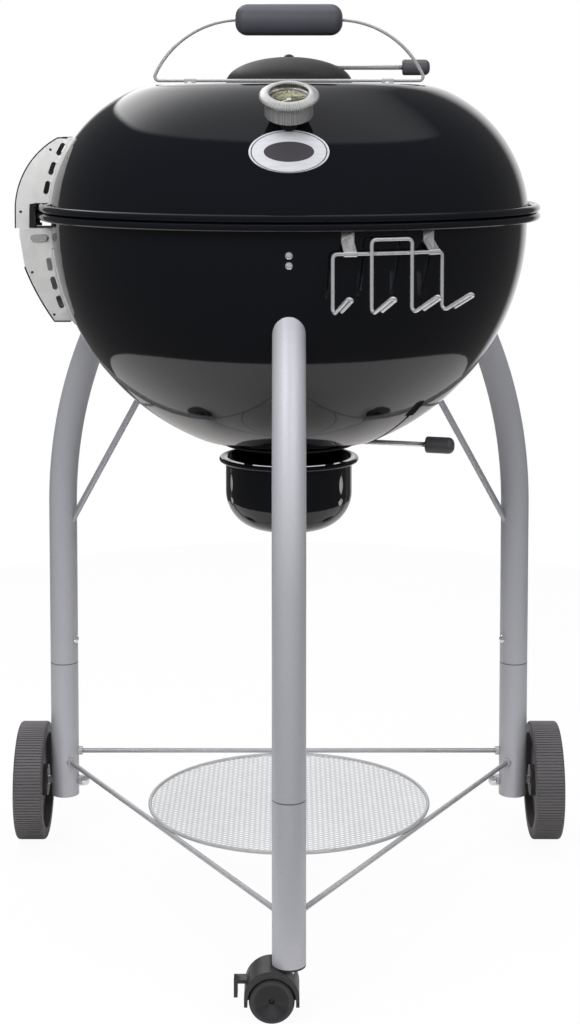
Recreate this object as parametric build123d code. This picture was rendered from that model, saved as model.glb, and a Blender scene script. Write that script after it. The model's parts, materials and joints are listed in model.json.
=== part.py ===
from build123d import *
import os
from math import acos, asin, atan2, ceil, cos, degrees, hypot, radians, sin, sqrt

# Kettle charcoal grill on three tube legs, in millimetres, +Z up.
# The origin is on the floor under the kettle's axis. The front is -Y and the lid hinges at -X.

# Fits
seat_gap = 0.1
running_fit = 0.05
body_gap = 0.3

# Kettle shells: both are pressed from the same sheet and end in a rolled flange
kettle_radius = 284.0
sheet = 1.2
rim_z = 834.0
bowl_rim_rise = 10.0
bowl_floor_radius = 111.2
flange_reach = 15.5
bead_radius = 4.6
lid_height = 150.0
lid_overhang = 1.7
lid_side_radius = 165.0
lid_side_drop = 8.0
lid_shoulder_radius = 95.0

# Side hinge: two folded brackets round one pin
hinge_sheet = 1.5
hinge_half_width = 28.5
hinge_play = 0.5
hinge_reach = 25.5
hinge_rise = 87.0
hinge_drop = 131.0
hinge_corner_radius = 98.0
hinge_corner_x = 98.0
hinge_corner_z = 86.0
hinge_step = 5.0
hinge_lean = 6.0
hinge_lean_drop = 66.0
hinge_foot_radius = 300.0
hinge_foot_x = 285.5
hinge_foot_z = 173.6
hinge_pin_out = 3.0
hinge_pin_drop = 31.0
hinge_pin_diameter = 8.0
hinge_ear_radius = 12.0
hinge_notch_depth = 9.0
hinge_notch_radius = 7.0
hinge_window_drop = 65.0
hinge_slot_length = 16.0
hinge_slot_width = 6.0
hinge_slot_offset = 5.5
hinge_slots = 3
hinge_slot_pitch = 22.0
hinge_slot_rise = 27.0
hinge_slot_fall = 62.0
hinge_plate_half_width = 62.0
hinge_mark_diameter = 3.2
hinge_lid_marks = ((42.4, 73.0), (6.4, -0.5))
hinge_bowl_marks = ((14.8, -72.5), (40.5, -123.0))
hinge_head_length = 21.0
hinge_head_height = 9.0
hinge_head_thickness = 3.0
hinge_head_shift = 6.0
rivet_turn = 2.7
rivet_rises = (34.0, 66.0)
rivet_drops = (78.0, 112.0)
rivet_diameter = 4.8
rivet_head_diameter = 9.0
rivet_head_height = 1.8

# Lid handle: one bent wire loop with a thick grip
handle_wire_diameter = 4.0
handle_lift = 3.0
handle_rise = 77.3
handle_straight = 58.0
handle_bend_radius = 112.0
handle_foot_radius = 5.0
grip_diameter = 37.5
grip_length = 128.0
grip_edge_radius = 14.5
handle_clip_x = 118.0
handle_clip_width = 14.0
handle_clip_foot = 12.0

# Top vent: a turning dome over holes in the lid
vent_handle_gap = 7.0
vent_cap_diameter = 156.0
vent_cap_rise = 36.0
vent_cap_lift = 4.0
vent_hole_diameter = 30.0
vent_hole_circle = 42.0
vent_holes = 3
vent_shutter_edge = 4.0
vent_post_diameter = 6.0
vent_lever_rise = 23.0
vent_lever_length = 154.4
pivot_diameter = 6.0
pivot_head_diameter = 13.0
pivot_head_height = 3.0
lever_diameter = 6.0
knob_diameter = 19.6
knob_length = 34.0
knob_overlap = 14.0

# Thermometer on the lid's front
thermometer_rise = 102.0
thermometer_tilt = 61.0
stem_diameter = 8.5
stem_out = 15.0
probe_diameter = 5.0
probe_length = 62.0
case_diameter = 52.0
case_depth = 19.0
case_wall = 1.5
bezel_diameter = 64.0
bezel_opening = 43.0
bezel_height = 7.5
dial_drop = 2.2
dial_thickness = 0.8
glass_thickness = 1.4
needle_length = 16.0
needle_width = 2.4
needle_rest = 125.0
grommet_diameter = 18.0
grommet_core_diameter = 13.0
grommet_lip = 2.0

# Plain oval plate below the thermometer
plate_width = 86.0
plate_height = 52.0
plate_thickness = 1.7
plate_rise = 75.5

# Bottom damper and ash pot
damper_diameter = 158.0
damper_flat_diameter = 124.0
damper_drop = 8.0
damper_sheet = 1.2
damper_hole_diameter = 36.0
damper_hole_circle = 38.0
damper_holes = 3
damper_lever_azimuth = -16.0
damper_lever_length = 183.0
pot_rim_diameter = 169.0
pot_diameter = 153.0
pot_gap = 26.0
pot_depth = 88.0
pot_sheet = 1.0
pot_bead_radius = 3.0
pot_corner_radius = 46.0
pot_window_turns = (55.0, 175.0, 295.0)
pot_leaf_height = 26.0
pot_leaf_width = 9.5
pot_leaf_drop = 28.0
pot_petals = 5
pot_petal_diameter = 4.8
pot_petal_circle = 3.1
pot_flower_drop = 49.0
pot_clip_azimuths = (55.0, 125.0, 270.0)
pot_clip_width = 12.0
pot_clip_sheet = 1.2
pot_clip_foot = 14.0

# Grates
grate_gap = 12.4
grate_drop = 25.0
grate_wire = 5.0
grate_ring_wire = 6.0
grate_pitch = 22.0
coal_grate_share = 0.79
coal_grate_pitch = 30.0
bracket_width = 20.0
bracket_sheet = 2.0
bracket_reach = 30.0
bracket_screw_drops = (34.8, 45.6)
bracket_screw_diameter = 4.8
bracket_screw_head = 8.5

# Legs: front, rear left and rear right
leg_circle_radius = 340.0
leg_azimuths = {"front": -90.0, "rear_right": 30.0, "rear_left": 150.0}
tube_diameter = 36.0
tube_wall = 1.5
leg_bend_radius = 500.0
leg_bend_z = 443.0
leg_joint_z = 234.0
leg_end_z = 57.0
leg_saddle = 3.0
sleeve_length = 90.0
sleeve_wall = 2.0
joint_screw_rise = 32.0
joint_screw_diameter = 6.0
joint_screw_head = 11.0
leg_bolt_diameter = 8.0
leg_bolt_head = 15.0
leg_nut_height = 6.0
leg_nut_flats = 13.0
stay_diameter = 8.0
stay_low_z = 428.0
stay_drop = 212.0

# Shelf: three rods between the legs carry a round mesh
shelf_rod_diameter = 6.0
shelf_front_z = 104.0
shelf_ring_wire = 4.5
mesh_thickness = 1.2
mesh_long_pitch = 33.0
mesh_short_pitch = 18.0
mesh_strand = 2.4
mesh_border = 3.0
rod_nut_flats = 10.0
rod_nut_height = 5.0

# Rear wheels
wheel_diameter = 150.5
wheel_width = 37.0
wheel_clearance = 4.5
wheel_hub_diameter = 40.0
wheel_rim_inner_diameter = 122.0
wheel_recess = 9.0
wheel_ribs = 48
wheel_rib_gap = 2.4
wheel_rib_height = 1.6
axle_diameter = 10.0
axle_head_diameter = 18.0
axle_head_height = 5.0
cap_nut_diameter = 15.0
cap_nut_length = 14.0

# Twin-wheel caster under the front leg
caster_wheel_diameter = 48.0
caster_wheel_width = 16.0
caster_trail = 18.0
caster_web = 8.0
caster_play = 0.6
caster_hood_radius = 29.0
caster_hood_top = 57.0
caster_hood_skirt_z = 18.0
caster_wheel_room = 1.4
caster_stem_diameter = 11.0
caster_stem_length = 30.0
caster_socket_length = 34.0
caster_socket_lip = 2.0
caster_axle_diameter = 6.0
brake_width = 15.0
brake_pivot_diameter = 7.0
brake_thickness = 4.0
brake_reach = 11.0
brake_drop = 17.0
brake_rise = 12.0
brake_inset = 5.5

# Tool rack hung from the bowl's rim
rack_standoff = 10.5
rack_drop = 32.5
rack_azimuths = (-81.0, -73.0, -64.0, -56.0)
rack_wire = 4.0
rack_hook_drop = 98.0
rack_hook_reach = 38.0
rack_hook_rise = 22.0
rack_hook_skew = 15.0
rack_bend_radius = 5.0
rack_inner_rise = 15.0
rack_clip_azimuths = (-77.4, -58.2)
rack_clip_width = 14.0
rack_clip_sheet = 1.2

# Values worked out from the sizes above
bowl_centre_z = rim_z - bowl_rim_rise
bowl_floor_z = bowl_centre_z - sqrt(kettle_radius**2 - bowl_floor_radius**2)
bowl_inner_radius = kettle_radius - sheet
flange_radius = kettle_radius + flange_reach
lid_z = rim_z + body_gap
lid_top_z = rim_z + lid_height
side_centre_r = kettle_radius + lid_overhang - lid_side_radius
side_centre_z = rim_z - lid_side_drop
shoulder_centre_z = lid_top_z - lid_shoulder_radius
shoulder_step = lid_side_radius - lid_shoulder_radius
shoulder_lift = shoulder_centre_z - side_centre_z
shoulder_centre_r = side_centre_r + sqrt(shoulder_step**2 - shoulder_lift**2)
shoulder_join = degrees(asin(shoulder_lift / shoulder_step))
vent_y = vent_cap_diameter / 2 + vent_handle_gap
pin_x = -flange_radius - hinge_pin_out
pin_z = rim_z - hinge_pin_drop
hinge_split_z = pin_z + hinge_ear_radius - 1
handle_base_z = lid_top_z + handle_lift + handle_wire_diameter / 2
hinge_deep_x = -kettle_radius + 60
thermometer_z = rim_z + thermometer_rise
plate_z = rim_z + plate_rise
pot_rim_z = bowl_floor_z - pot_gap
grate_z = rim_z - grate_drop
grate_diameter = 2 * (sqrt(bowl_inner_radius**2 - (bowl_centre_z - grate_z) ** 2) - grate_gap)
coal_grate_diameter = coal_grate_share * grate_diameter
stay_high_z = rim_z - stay_drop
rack_radius = kettle_radius + rack_standoff
tube_radius = tube_diameter / 2
shelf_ring_radius = leg_circle_radius * sin(radians(30))
rear_rod_z = shelf_front_z + shelf_rod_diameter + shelf_ring_wire
shelf_ring_z = (shelf_front_z + rear_rod_z) / 2
wheel_z = wheel_diameter / 2


# Small helpers

def polar(radius, azimuth, z):
    """Point at a distance from the kettle's axis, in a compass direction, at a height."""
    return Vector(radius * cos(radians(azimuth)), radius * sin(radians(azimuth)), z)


def rect(r_low, z_low, r_high, z_high):
    """Rectangle in a radius and height profile, given by two corners."""
    middle = Pos((r_low + r_high) / 2, (z_low + z_high) / 2)
    return middle * Rectangle(r_high - r_low, z_high - z_low)


def spun(profile):
    """Solid of revolution about +Z from a radius and height profile."""
    return revolve(Plane.XZ * profile, Axis.Z)


def slab(x_range, y_range, z_range):
    """Box given by its limits."""
    sizes = [high - low for low, high in (x_range, y_range, z_range)]
    middle = [(high + low) / 2 for low, high in (x_range, y_range, z_range)]
    return Pos(*middle) * Box(*sizes)


def rod(start, end, diameter):
    """Round bar between two points."""
    start, end = Vector(*start), Vector(*end)
    plane = Plane(origin=start, z_dir=end - start)
    return extrude(plane * Circle(diameter / 2), amount=(end - start).length)


def pipe(path, diameter):
    """Round wire along a path of lines and tangent arcs."""
    start = Plane(origin=path @ 0, z_dir=path % 0)
    return sweep(start * Circle(diameter / 2), path=path)


def dome(diameter, height):
    """Domed head that stands on the XY plane."""
    half = diameter / 2
    ball = (half**2 + height**2) / (2 * height)
    lean = degrees(asin(half / ball))
    edges = [
        Line((0, 0), (half, 0)),
        CenterArc((0, height - ball), ball, 90 - lean, lean),
        Line((0, height), (0, 0)),
    ]
    return spun(make_face(edges))


def screw(point, outward, head_diameter, head_height, shank_diameter, length):
    """Domed screw whose head rests on a point and whose shank goes in against the outward way."""
    plane = Plane(origin=point, z_dir=outward)
    shank = Pos(0, 0, -length / 2) * Cylinder(shank_diameter / 2, length)
    return plane * (dome(head_diameter, head_height) + shank)


def rivet(point, outward, outer_stack, inner_stack):
    """Rivet through two sheets: heads lie on both sides of the stack round a surface point."""
    plane = Plane(origin=point, z_dir=outward)
    length = outer_stack + inner_stack
    shank = Pos(0, 0, (outer_stack - inner_stack) / 2) * Cylinder(rivet_diameter / 2, length)
    head = dome(rivet_head_diameter, rivet_head_height)
    outer_head = Pos(0, 0, outer_stack) * head
    inner_head = Pos(0, 0, -inner_stack) * Rot(180, 0, 0) * head
    return plane * (shank + outer_head + inner_head)


def drill(point, along, diameter, reach):
    """Cutter for a round hole that runs a reach to both sides of a point."""
    plane = Plane(origin=point, z_dir=along)
    return plane * Cylinder(diameter / 2, 2 * reach)


def hex_nut(point, along, flats, bore, height):
    """Hexagon nut that stands on a point and runs along a direction."""
    plane = Plane(origin=point, z_dir=along)
    profile = RegularPolygon(flats / 2, 6, major_radius=False) - Circle(bore / 2)
    return extrude(plane * profile, amount=height)


def bowl_ball(grow):
    """Ball of the bowl's outer skin, grown by a distance."""
    return Pos(0, 0, bowl_centre_z) * Sphere(kettle_radius + grow)


def bowl_point(azimuth, z):
    """Point on the bowl's outer skin and the outward direction there."""
    fall = z - bowl_centre_z
    point = polar(sqrt(kettle_radius**2 - fall**2), azimuth, z)
    return point, point - Vector(0, 0, bowl_centre_z)


def lid_radius(z):
    """Outer radius of the lid's side at a height."""
    return side_centre_r + sqrt(lid_side_radius**2 - (z - side_centre_z) ** 2)


def lid_point(azimuth, z):
    """Point on the lid's outer side and the outward direction there."""
    point = polar(lid_radius(z), azimuth, z)
    return point, point - polar(side_centre_r, azimuth, side_centre_z)


def lid_region(grow):
    """Filled half section of the lid, grown by a distance: flat top, shoulder arc and side arc."""
    top = lid_top_z + grow
    side = lid_side_radius + grow
    low = degrees(asin((lid_z - side_centre_z) / side))
    edges = [
        Line((0, lid_z), (0, top)),
        Line((0, top), (shoulder_centre_r, top)),
        CenterArc((shoulder_centre_r, shoulder_centre_z), lid_shoulder_radius + grow,
                  shoulder_join, 90 - shoulder_join),
        CenterArc((side_centre_r, side_centre_z), side, low, shoulder_join - low),
        Line((side_centre_r + side * cos(radians(low)), lid_z), (0, lid_z)),
    ]
    return make_face(edges)


def lid_band(inner, outer, z_low, z_high):
    """Ring of sheet that follows the lid's outer side between two heights."""
    band = lid_region(outer) - lid_region(inner)
    return spun(band & rect(0, z_low, flange_radius, z_high))


def flange_profile(bead_z):
    """Section of a rolled flange: a flat lip that ends in a round bead at a height."""
    lip_z = rim_z - sheet if bead_z < rim_z else lid_z
    lip = rect(bowl_inner_radius + sheet / 2, lip_z, flange_radius - bead_radius, lip_z + sheet)
    bead = Pos(flange_radius - bead_radius, bead_z) * Circle(bead_radius)
    return lip, bead


# Kettle

leg_bend_centre_r = leg_circle_radius - leg_bend_radius
leg_bend_to_bowl = Vector(-leg_bend_centre_r, bowl_centre_z - leg_bend_z)
leg_span = leg_bend_to_bowl.length
leg_meet_share = (leg_bend_radius**2 + leg_span**2 - kettle_radius**2) / (2 * leg_bend_radius * leg_span)
leg_meet_turn = acos(leg_meet_share)
leg_meet_angle = atan2(leg_bend_to_bowl.Y, leg_bend_to_bowl.X) - leg_meet_turn
leg_meet_z = leg_bend_z + leg_bend_radius * sin(leg_meet_angle)

rivet_azimuths = (180 - rivet_turn, 180 + rivet_turn)
hinge_lid_rivets = [lid_point(azimuth, rim_z + rise) for azimuth in rivet_azimuths for rise in rivet_rises]
hinge_bowl_rivets = [bowl_point(azimuth, rim_z - drop) for azimuth in rivet_azimuths for drop in rivet_drops]
leg_bolts = [bowl_point(azimuth, leg_meet_z) for azimuth in leg_azimuths.values()]
bracket_screws = [
    bowl_point(azimuth, rim_z - drop)
    for azimuth in leg_azimuths.values()
    for drop in bracket_screw_drops
]
pot_clip_radius = pot_rim_diameter / 2 + body_gap
pot_clip_screw_radius = pot_clip_radius + pot_clip_sheet + pot_clip_foot / 2


def make_bowl():
    """Bowl: part of a ball with a flat floor, a rolled flange and round air holes."""
    ball = Pos(0, bowl_centre_z) * Circle(kettle_radius)
    hollow = Pos(0, bowl_centre_z) * Circle(bowl_inner_radius)
    wall = ball & rect(0, bowl_floor_z, kettle_radius, rim_z)
    room = hollow & rect(0, bowl_floor_z + sheet, kettle_radius, rim_z)
    lip, bead = flange_profile(rim_z - bead_radius)
    shell = spun((wall - room) + lip + bead)
    cuts = [drill(point, out, leg_bolt_diameter + 2 * seat_gap, 10) for point, out in leg_bolts]
    cuts += [drill(point, out, rivet_diameter + 2 * seat_gap, 10) for point, out in hinge_bowl_rivets]
    cuts += [drill(point, out, bracket_screw_diameter + 2 * seat_gap, 6) for point, out in bracket_screws]
    for azimuth in pot_clip_azimuths:
        spot = polar(pot_clip_screw_radius, azimuth, bowl_floor_z)
        cuts.append(drill(spot, (0, 0, 1), bracket_screw_diameter + 2 * seat_gap, 6))
    for step in range(damper_holes):
        spot = polar(damper_hole_circle, 360 / damper_holes * step, bowl_floor_z)
        cuts.append(drill(spot, (0, 0, 1), damper_hole_diameter, 6))
    cuts.append(drill((0, 0, bowl_floor_z), (0, 0, 1), pivot_diameter + 2 * seat_gap, 6))
    return shell - cuts


def make_lid():
    """Lid: flat-topped dome with its own rolled flange, vent holes and the thermometer's hole."""
    lip, bead = flange_profile(lid_z + bead_radius)
    shell = spun(lid_region(0) - lid_region(-sheet) + lip + bead)
    point, out = lid_point(-90, thermometer_z)
    cuts = [drill(point, out, grommet_core_diameter + 2 * seat_gap, 8)]
    cuts += [drill(at, way, rivet_diameter + 2 * seat_gap, 10) for at, way in hinge_lid_rivets]
    for step in range(vent_holes):
        turn = radians(360 / vent_holes * step)
        spot = (vent_hole_circle * cos(turn), vent_y + vent_hole_circle * sin(turn), lid_top_z)
        cuts.append(drill(spot, (0, 0, 1), vent_hole_diameter, 8))
    cuts.append(drill((0, vent_y, lid_top_z), (0, 0, 1), pivot_diameter + 2 * seat_gap, 8))
    for spot in handle_screw_spots():
        cuts.append(drill(spot, (0, 0, 1), bracket_screw_diameter + 2 * seat_gap, 8))
    return shell - cuts


# Hinge

def folded_bracket(cheek, web, half_width):
    """Folded sheet hood: two cheeks of one side view, joined by a web along the outer edge."""
    plate = extrude(Plane.XZ * cheek, amount=hinge_sheet)
    hood = extrude(Plane.XZ * web, amount=half_width, both=True)
    return hood + Pos(0, half_width, 0) * plate + Pos(0, hinge_sheet - half_width, 0) * plate


def heat_slots(spots):
    """Cutters for the long slots that keep heat out of the hinge, each at a point and an angle."""
    reach = 2 * hinge_half_width
    slots = []
    for x, z, angle in spots:
        slot = Pos(x, z) * Rot(0, 0, angle) * SlotOverall(hinge_slot_length, hinge_slot_width)
        slots.append(extrude(Plane.XZ * slot, amount=reach, both=True))
    return slots


def cheek_holes(outer_x, marks):
    """Cutters across both cheeks: the pin's bore and small holes set in from the outer edge."""
    reach = 2 * hinge_half_width
    holes = [drill((pin_x, 0, pin_z), (0, 1, 0), hinge_pin_diameter + 2 * running_fit, reach)]
    for inward, rise in marks:
        holes.append(drill((outer_x + inward, 0, rim_z + rise), (0, 1, 0), hinge_mark_diameter, reach))
    return holes


def upper_side(inset):
    """Side view of the upper bracket above its ears, drawn in from the outer edge by a distance."""
    outer_x = -flange_radius - hinge_reach
    top_z = rim_z + hinge_rise
    centre_x = outer_x + hinge_corner_x
    centre_z = top_z - hinge_corner_z
    block = rect(outer_x + inset, hinge_split_z, hinge_deep_x, top_z - inset)
    corner = rect(outer_x - 1, centre_z, centre_x, top_z + 1)
    return block - (corner - Pos(centre_x, centre_z) * Circle(hinge_corner_radius - inset))


def lower_side(inset):
    """Side view of the lower bracket, drawn in from the outer edge by a distance."""
    outer_x = -flange_radius - hinge_reach + hinge_step + inset
    foot_z = rim_z - hinge_drop
    centre_x = outer_x - inset + hinge_foot_x
    centre_z = foot_z + hinge_foot_z
    corners = [
        (outer_x, hinge_split_z),
        (outer_x, hinge_split_z - 9),
        (outer_x + hinge_lean, rim_z - hinge_lean_drop),
        (outer_x + hinge_lean, foot_z + inset),
        (hinge_deep_x, foot_z + inset),
        (hinge_deep_x, hinge_split_z),
    ]
    block = make_face(Polyline(*corners, close=True))
    corner = rect(outer_x - inset - 1, foot_z - 1, centre_x, centre_z)
    return block - (corner - Pos(centre_x, centre_z) * Circle(hinge_foot_radius - inset))


def make_hinge_lid_bracket():
    """Upper bracket: runs outside both flanges, down to two ears round the pin."""
    top_z = rim_z + hinge_rise
    notch_x = -flange_radius - hinge_notch_depth
    notch_top = lid_z + 2 * bead_radius + body_gap
    ear = Pos(pin_x, pin_z) * Circle(hinge_ear_radius)
    ear += rect(-flange_radius - hinge_reach + 6, pin_z - 2, pin_x, hinge_split_z)
    notch = rect(notch_x, hinge_split_z, 0, notch_top)
    notch = fillet(notch.vertices().sort_by(Axis.X)[:2].sort_by(Axis.Y)[-1], hinge_notch_radius)
    half_width = hinge_half_width - hinge_sheet - hinge_play
    cheek = upper_side(0) + ear - notch
    bracket = folded_bracket(cheek, upper_side(0) - upper_side(hinge_sheet), half_width)
    bracket -= spun(lid_region(seat_gap))
    back = lid_band(seat_gap, seat_gap + hinge_sheet, notch_top, top_z)
    plate_range = (-hinge_plate_half_width, hinge_plate_half_width)
    bracket += back & slab((2 * pin_x, 0), plate_range, (rim_z, top_z))
    spots = []
    for step in range(hinge_slots):
        z = rim_z + hinge_slot_rise + hinge_slot_pitch * step
        turn = asin((z - side_centre_z) / lid_side_radius)
        reach = lid_side_radius + hinge_slot_offset
        x = -side_centre_r - reach * cos(turn)
        spots.append((x, side_centre_z + reach * sin(turn), 90 - degrees(turn)))
    bracket -= heat_slots(spots)
    bracket -= cheek_holes(-flange_radius - hinge_reach, hinge_lid_marks)
    return bracket - [drill(at, way, rivet_diameter + 2 * seat_gap, 10) for at, way in hinge_lid_rivets]


def make_hinge_bowl_bracket():
    """Lower bracket: its cheeks hold the pin, and its web starts below the swing of the upper one."""
    foot_z = rim_z - hinge_drop
    web = lower_side(0) - lower_side(hinge_sheet)
    web &= rect(2 * pin_x, foot_z - 1, 0, rim_z - hinge_window_drop)
    bracket = folded_bracket(lower_side(0), web, hinge_half_width) - bowl_ball(seat_gap)
    back = bowl_ball(seat_gap + hinge_sheet) - bowl_ball(seat_gap)
    plate_range = (-hinge_plate_half_width, hinge_plate_half_width)
    bracket += back & slab((2 * pin_x, 0), plate_range, (foot_z, pin_z - hinge_ear_radius))
    spots = []
    for step in range(hinge_slots):
        z = rim_z - hinge_slot_fall - hinge_slot_pitch * step
        turn = asin((z - bowl_centre_z) / kettle_radius)
        reach = kettle_radius + hinge_slot_offset
        spots.append((-reach * cos(turn), bowl_centre_z + reach * sin(turn), 90 - degrees(turn)))
    bracket -= heat_slots(spots)
    bracket -= cheek_holes(-flange_radius - hinge_reach + hinge_step, hinge_bowl_marks)
    return bracket - [drill(at, way, rivet_diameter + 2 * seat_gap, 10) for at, way in hinge_bowl_rivets]


def make_hinge_pin():
    """Hinge pin with an oval head at both ends."""
    half = hinge_half_width + seat_gap
    centre = Vector(pin_x, 0, pin_z)
    pin = rod(centre - (0, half, 0), centre + (0, half, 0), hinge_pin_diameter)
    oval = extrude(SlotOverall(hinge_head_length, hinge_head_height), amount=hinge_head_thickness)
    oval = fillet(oval.edges().group_by(Axis.Z)[-1], hinge_head_thickness / 3)
    for way in (-1, 1):
        seat = centre + (hinge_head_shift, way * half, 0)
        pin += Plane(origin=seat, x_dir=(1, 0, 0), z_dir=(0, way, 0)) * oval
    return pin


def make_hinge_lid_rivets():
    """Rivets that hold the upper bracket to the lid."""
    outer = 2 * seat_gap + hinge_sheet + 0.2
    return [rivet(at, way, outer, sheet + 0.2) for at, way in hinge_lid_rivets]


def make_hinge_bowl_rivets():
    """Rivets that hold the lower bracket to the bowl."""
    outer = 2 * seat_gap + hinge_sheet + 0.2
    return [rivet(at, way, outer, sheet + 0.2) for at, way in hinge_bowl_rivets]


# Handle

def make_handle_wire():
    """Wire loop: a straight base on the lid, a large bend at each side and a straight top inside the grip."""
    base_z = handle_base_z
    top_z = lid_top_z + handle_rise
    bend_z = top_z - handle_bend_radius
    foot_z = base_z + handle_foot_radius
    step = handle_bend_radius - handle_foot_radius
    lift = foot_z - bend_z
    foot_x = handle_straight + sqrt(step**2 - lift**2)
    join = degrees(asin(lift / step))
    weld_gap = 1.0
    edges = [
        Line((weld_gap, top_z), (handle_straight, top_z)),
        CenterArc((handle_straight, bend_z), handle_bend_radius, 90, join - 90),
        CenterArc((foot_x, foot_z), handle_foot_radius, join, -90 - join),
        Line((foot_x, base_z), (-foot_x, base_z)),
        CenterArc((-foot_x, foot_z), handle_foot_radius, 270, -90 - join),
        CenterArc((-handle_straight, bend_z), handle_bend_radius, 180 - join, join - 90),
        Line((-handle_straight, top_z), (-weld_gap, top_z)),
    ]
    path = Wire([Plane.XZ * edge for edge in edges])
    return pipe(path, handle_wire_diameter)


def make_handle_grip():
    """Thick round grip on the loop's top, with well rounded ends and a bore for the wire."""
    body = fillet(Cylinder(grip_diameter / 2, grip_length).edges(), grip_edge_radius)
    body -= Cylinder(handle_wire_diameter / 2 + seat_gap, grip_length)
    return Pos(0, 0, lid_top_z + handle_rise) * Rot(0, 90, 0) * body


def handle_screw_spots():
    """Places of the screws that hold the handle's two clips to the lid."""
    out = handle_wire_diameter / 2 + sheet + handle_clip_foot / 2
    return [Vector(x, y, lid_top_z) for x in (-handle_clip_x, handle_clip_x) for y in (-out, out)]


def make_handle_clips():
    """Two bridge clips that hold the loop's base to the lid."""
    inner = handle_wire_diameter / 2 + seat_gap
    outer = inner + sheet
    wire_z = handle_base_z
    foot_end = handle_wire_diameter / 2 + sheet + handle_clip_foot
    arch = Pos(0, wire_z) * Circle(outer) + rect(-outer, lid_top_z, outer, wire_z)
    foot = rect(-foot_end, lid_top_z + seat_gap, foot_end, lid_top_z + seat_gap + sheet)
    hole = Pos(0, wire_z) * Circle(inner) + rect(-inner, lid_top_z, inner, wire_z)
    profile = ((arch & rect(-outer, lid_top_z + seat_gap, outer, wire_z + outer)) + foot) - hole
    clip = extrude(Plane.YZ * profile, amount=handle_clip_width / 2, both=True)
    clips = [Pos(x, 0, 0) * clip for x in (-handle_clip_x, handle_clip_x)]
    cuts = [drill(spot, (0, 0, 1), bracket_screw_diameter + 2 * seat_gap, 8) for spot in handle_screw_spots()]
    return [clip - cuts for clip in clips]


def make_handle_screws():
    """Screws through the feet of the handle's clips."""
    lift = Vector(0, 0, seat_gap + sheet + 0.05)
    return [
        screw(spot + lift, (0, 0, 1), bracket_screw_head, 2.4, bracket_screw_diameter, 3 * sheet + 3)
        for spot in handle_screw_spots()
    ]


# Top vent

vent_shutter_z = lid_top_z + body_gap
vent_cap_low = lid_top_z + vent_cap_lift
vent_cap_top = lid_top_z + vent_cap_rise
vent_shutter_radius = vent_cap_diameter / 2 - vent_shutter_edge


def vent_spot(turn, radius, z):
    """Point at a turn and a radius round the vent's own axis."""
    return Vector(radius * cos(radians(turn)), vent_y + radius * sin(radians(turn)), z)


def vent_dome(grow):
    """Half section of the cap's dome, grown by a distance: a quarter of an ellipse."""
    half = vent_cap_diameter / 2
    quarter = rect(0, vent_cap_low, half + grow, vent_cap_top + grow)
    return Pos(0, vent_cap_low) * Ellipse(half + grow, vent_cap_top - vent_cap_low + grow) & quarter


def make_top_vent_cap():
    """Domed cap, carried by three posts on the shutter."""
    half = vent_cap_diameter / 2
    cap = Pos(0, vent_y, 0) * spun(vent_dome(0) - vent_dome(-sheet))
    post_radius = vent_shutter_radius - vent_post_diameter
    post_foot = rect(0, vent_shutter_z + sheet, half - sheet, vent_cap_low)
    post_room = Pos(0, vent_y, 0) * spun(vent_dome(-sheet / 2) + post_foot)
    for step in range(vent_holes):
        turn = 180 / vent_holes + 360 / vent_holes * step
        low = vent_spot(turn, post_radius, vent_shutter_z + sheet)
        cap += rod(low, vent_spot(turn, post_radius, vent_cap_top), vent_post_diameter) & post_room
    cap -= drill((0, vent_y, vent_cap_top), (0, 0, 1), pivot_diameter + 2 * running_fit, 6)
    lever_z = lid_top_z + vent_lever_rise
    return cap - drill((half, vent_y, lever_z), (1, 0, 0), lever_diameter + 2 * seat_gap, half / 2)


def make_top_vent_shutter():
    """Flat shutter that turns with the cap: its holes meet the lid's holes when the vent is open."""
    plate = Circle(vent_shutter_radius) - Circle(pivot_diameter / 2 + running_fit)
    plate -= PolarLocations(vent_hole_circle, vent_holes) * Circle(vent_hole_diameter / 2)
    return Pos(0, vent_y, vent_shutter_z) * extrude(plate, amount=sheet)


def make_top_vent_lever():
    """Lever rod that leaves the cap to the right."""
    lever_z = lid_top_z + vent_lever_rise
    start = vent_cap_diameter / 2 - 24
    return rod((start, vent_y, lever_z), (vent_lever_length, vent_y, lever_z), lever_diameter)


def knob(lever_end):
    """Long rounded knob along +X whose bore takes the lever's end."""
    half = knob_diameter / 2
    body = Cylinder(half, knob_length)
    body = fillet(body.edges().sort_by(Axis.Z)[-1], 0.7 * half)
    body = fillet(body.edges().sort_by(Axis.Z)[0], 0.25 * half)
    bore = Cylinder(lever_diameter / 2 + seat_gap, knob_overlap + 2 * seat_gap)
    bore = Pos(0, 0, (knob_overlap - knob_length) / 2) * bore
    middle = lever_end - knob_overlap + knob_length / 2
    return Pos(middle, 0, 0) * Rot(0, 90, 0) * (body - bore)


def make_top_vent_knob():
    """Heat-proof knob on the top lever."""
    return Pos(0, vent_y, lid_top_z + vent_lever_rise) * knob(vent_lever_length)


def make_top_vent_pivot():
    """Fixed pivot that the cap and shutter turn on, headed over below the lid and above the cap."""
    low = lid_top_z - sheet - seat_gap
    high = vent_cap_top + body_gap
    pin = rod((0, vent_y, low), (0, vent_y, high), pivot_diameter)
    pin += Pos(0, vent_y, high) * dome(pivot_head_diameter, pivot_head_height)
    pin += Pos(0, vent_y, low) * Rot(180, 0, 0) * dome(pivot_head_diameter, pivot_head_height)
    collar = Pos(0, vent_y, vent_shutter_z + sheet + body_gap) * Circle(pivot_head_diameter / 2)
    return pin + extrude(collar, amount=vent_cap_rise - 3 * sheet - 2 * body_gap)


# Thermometer: every piece is turned about one tilted axis that starts on the lid's skin

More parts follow.
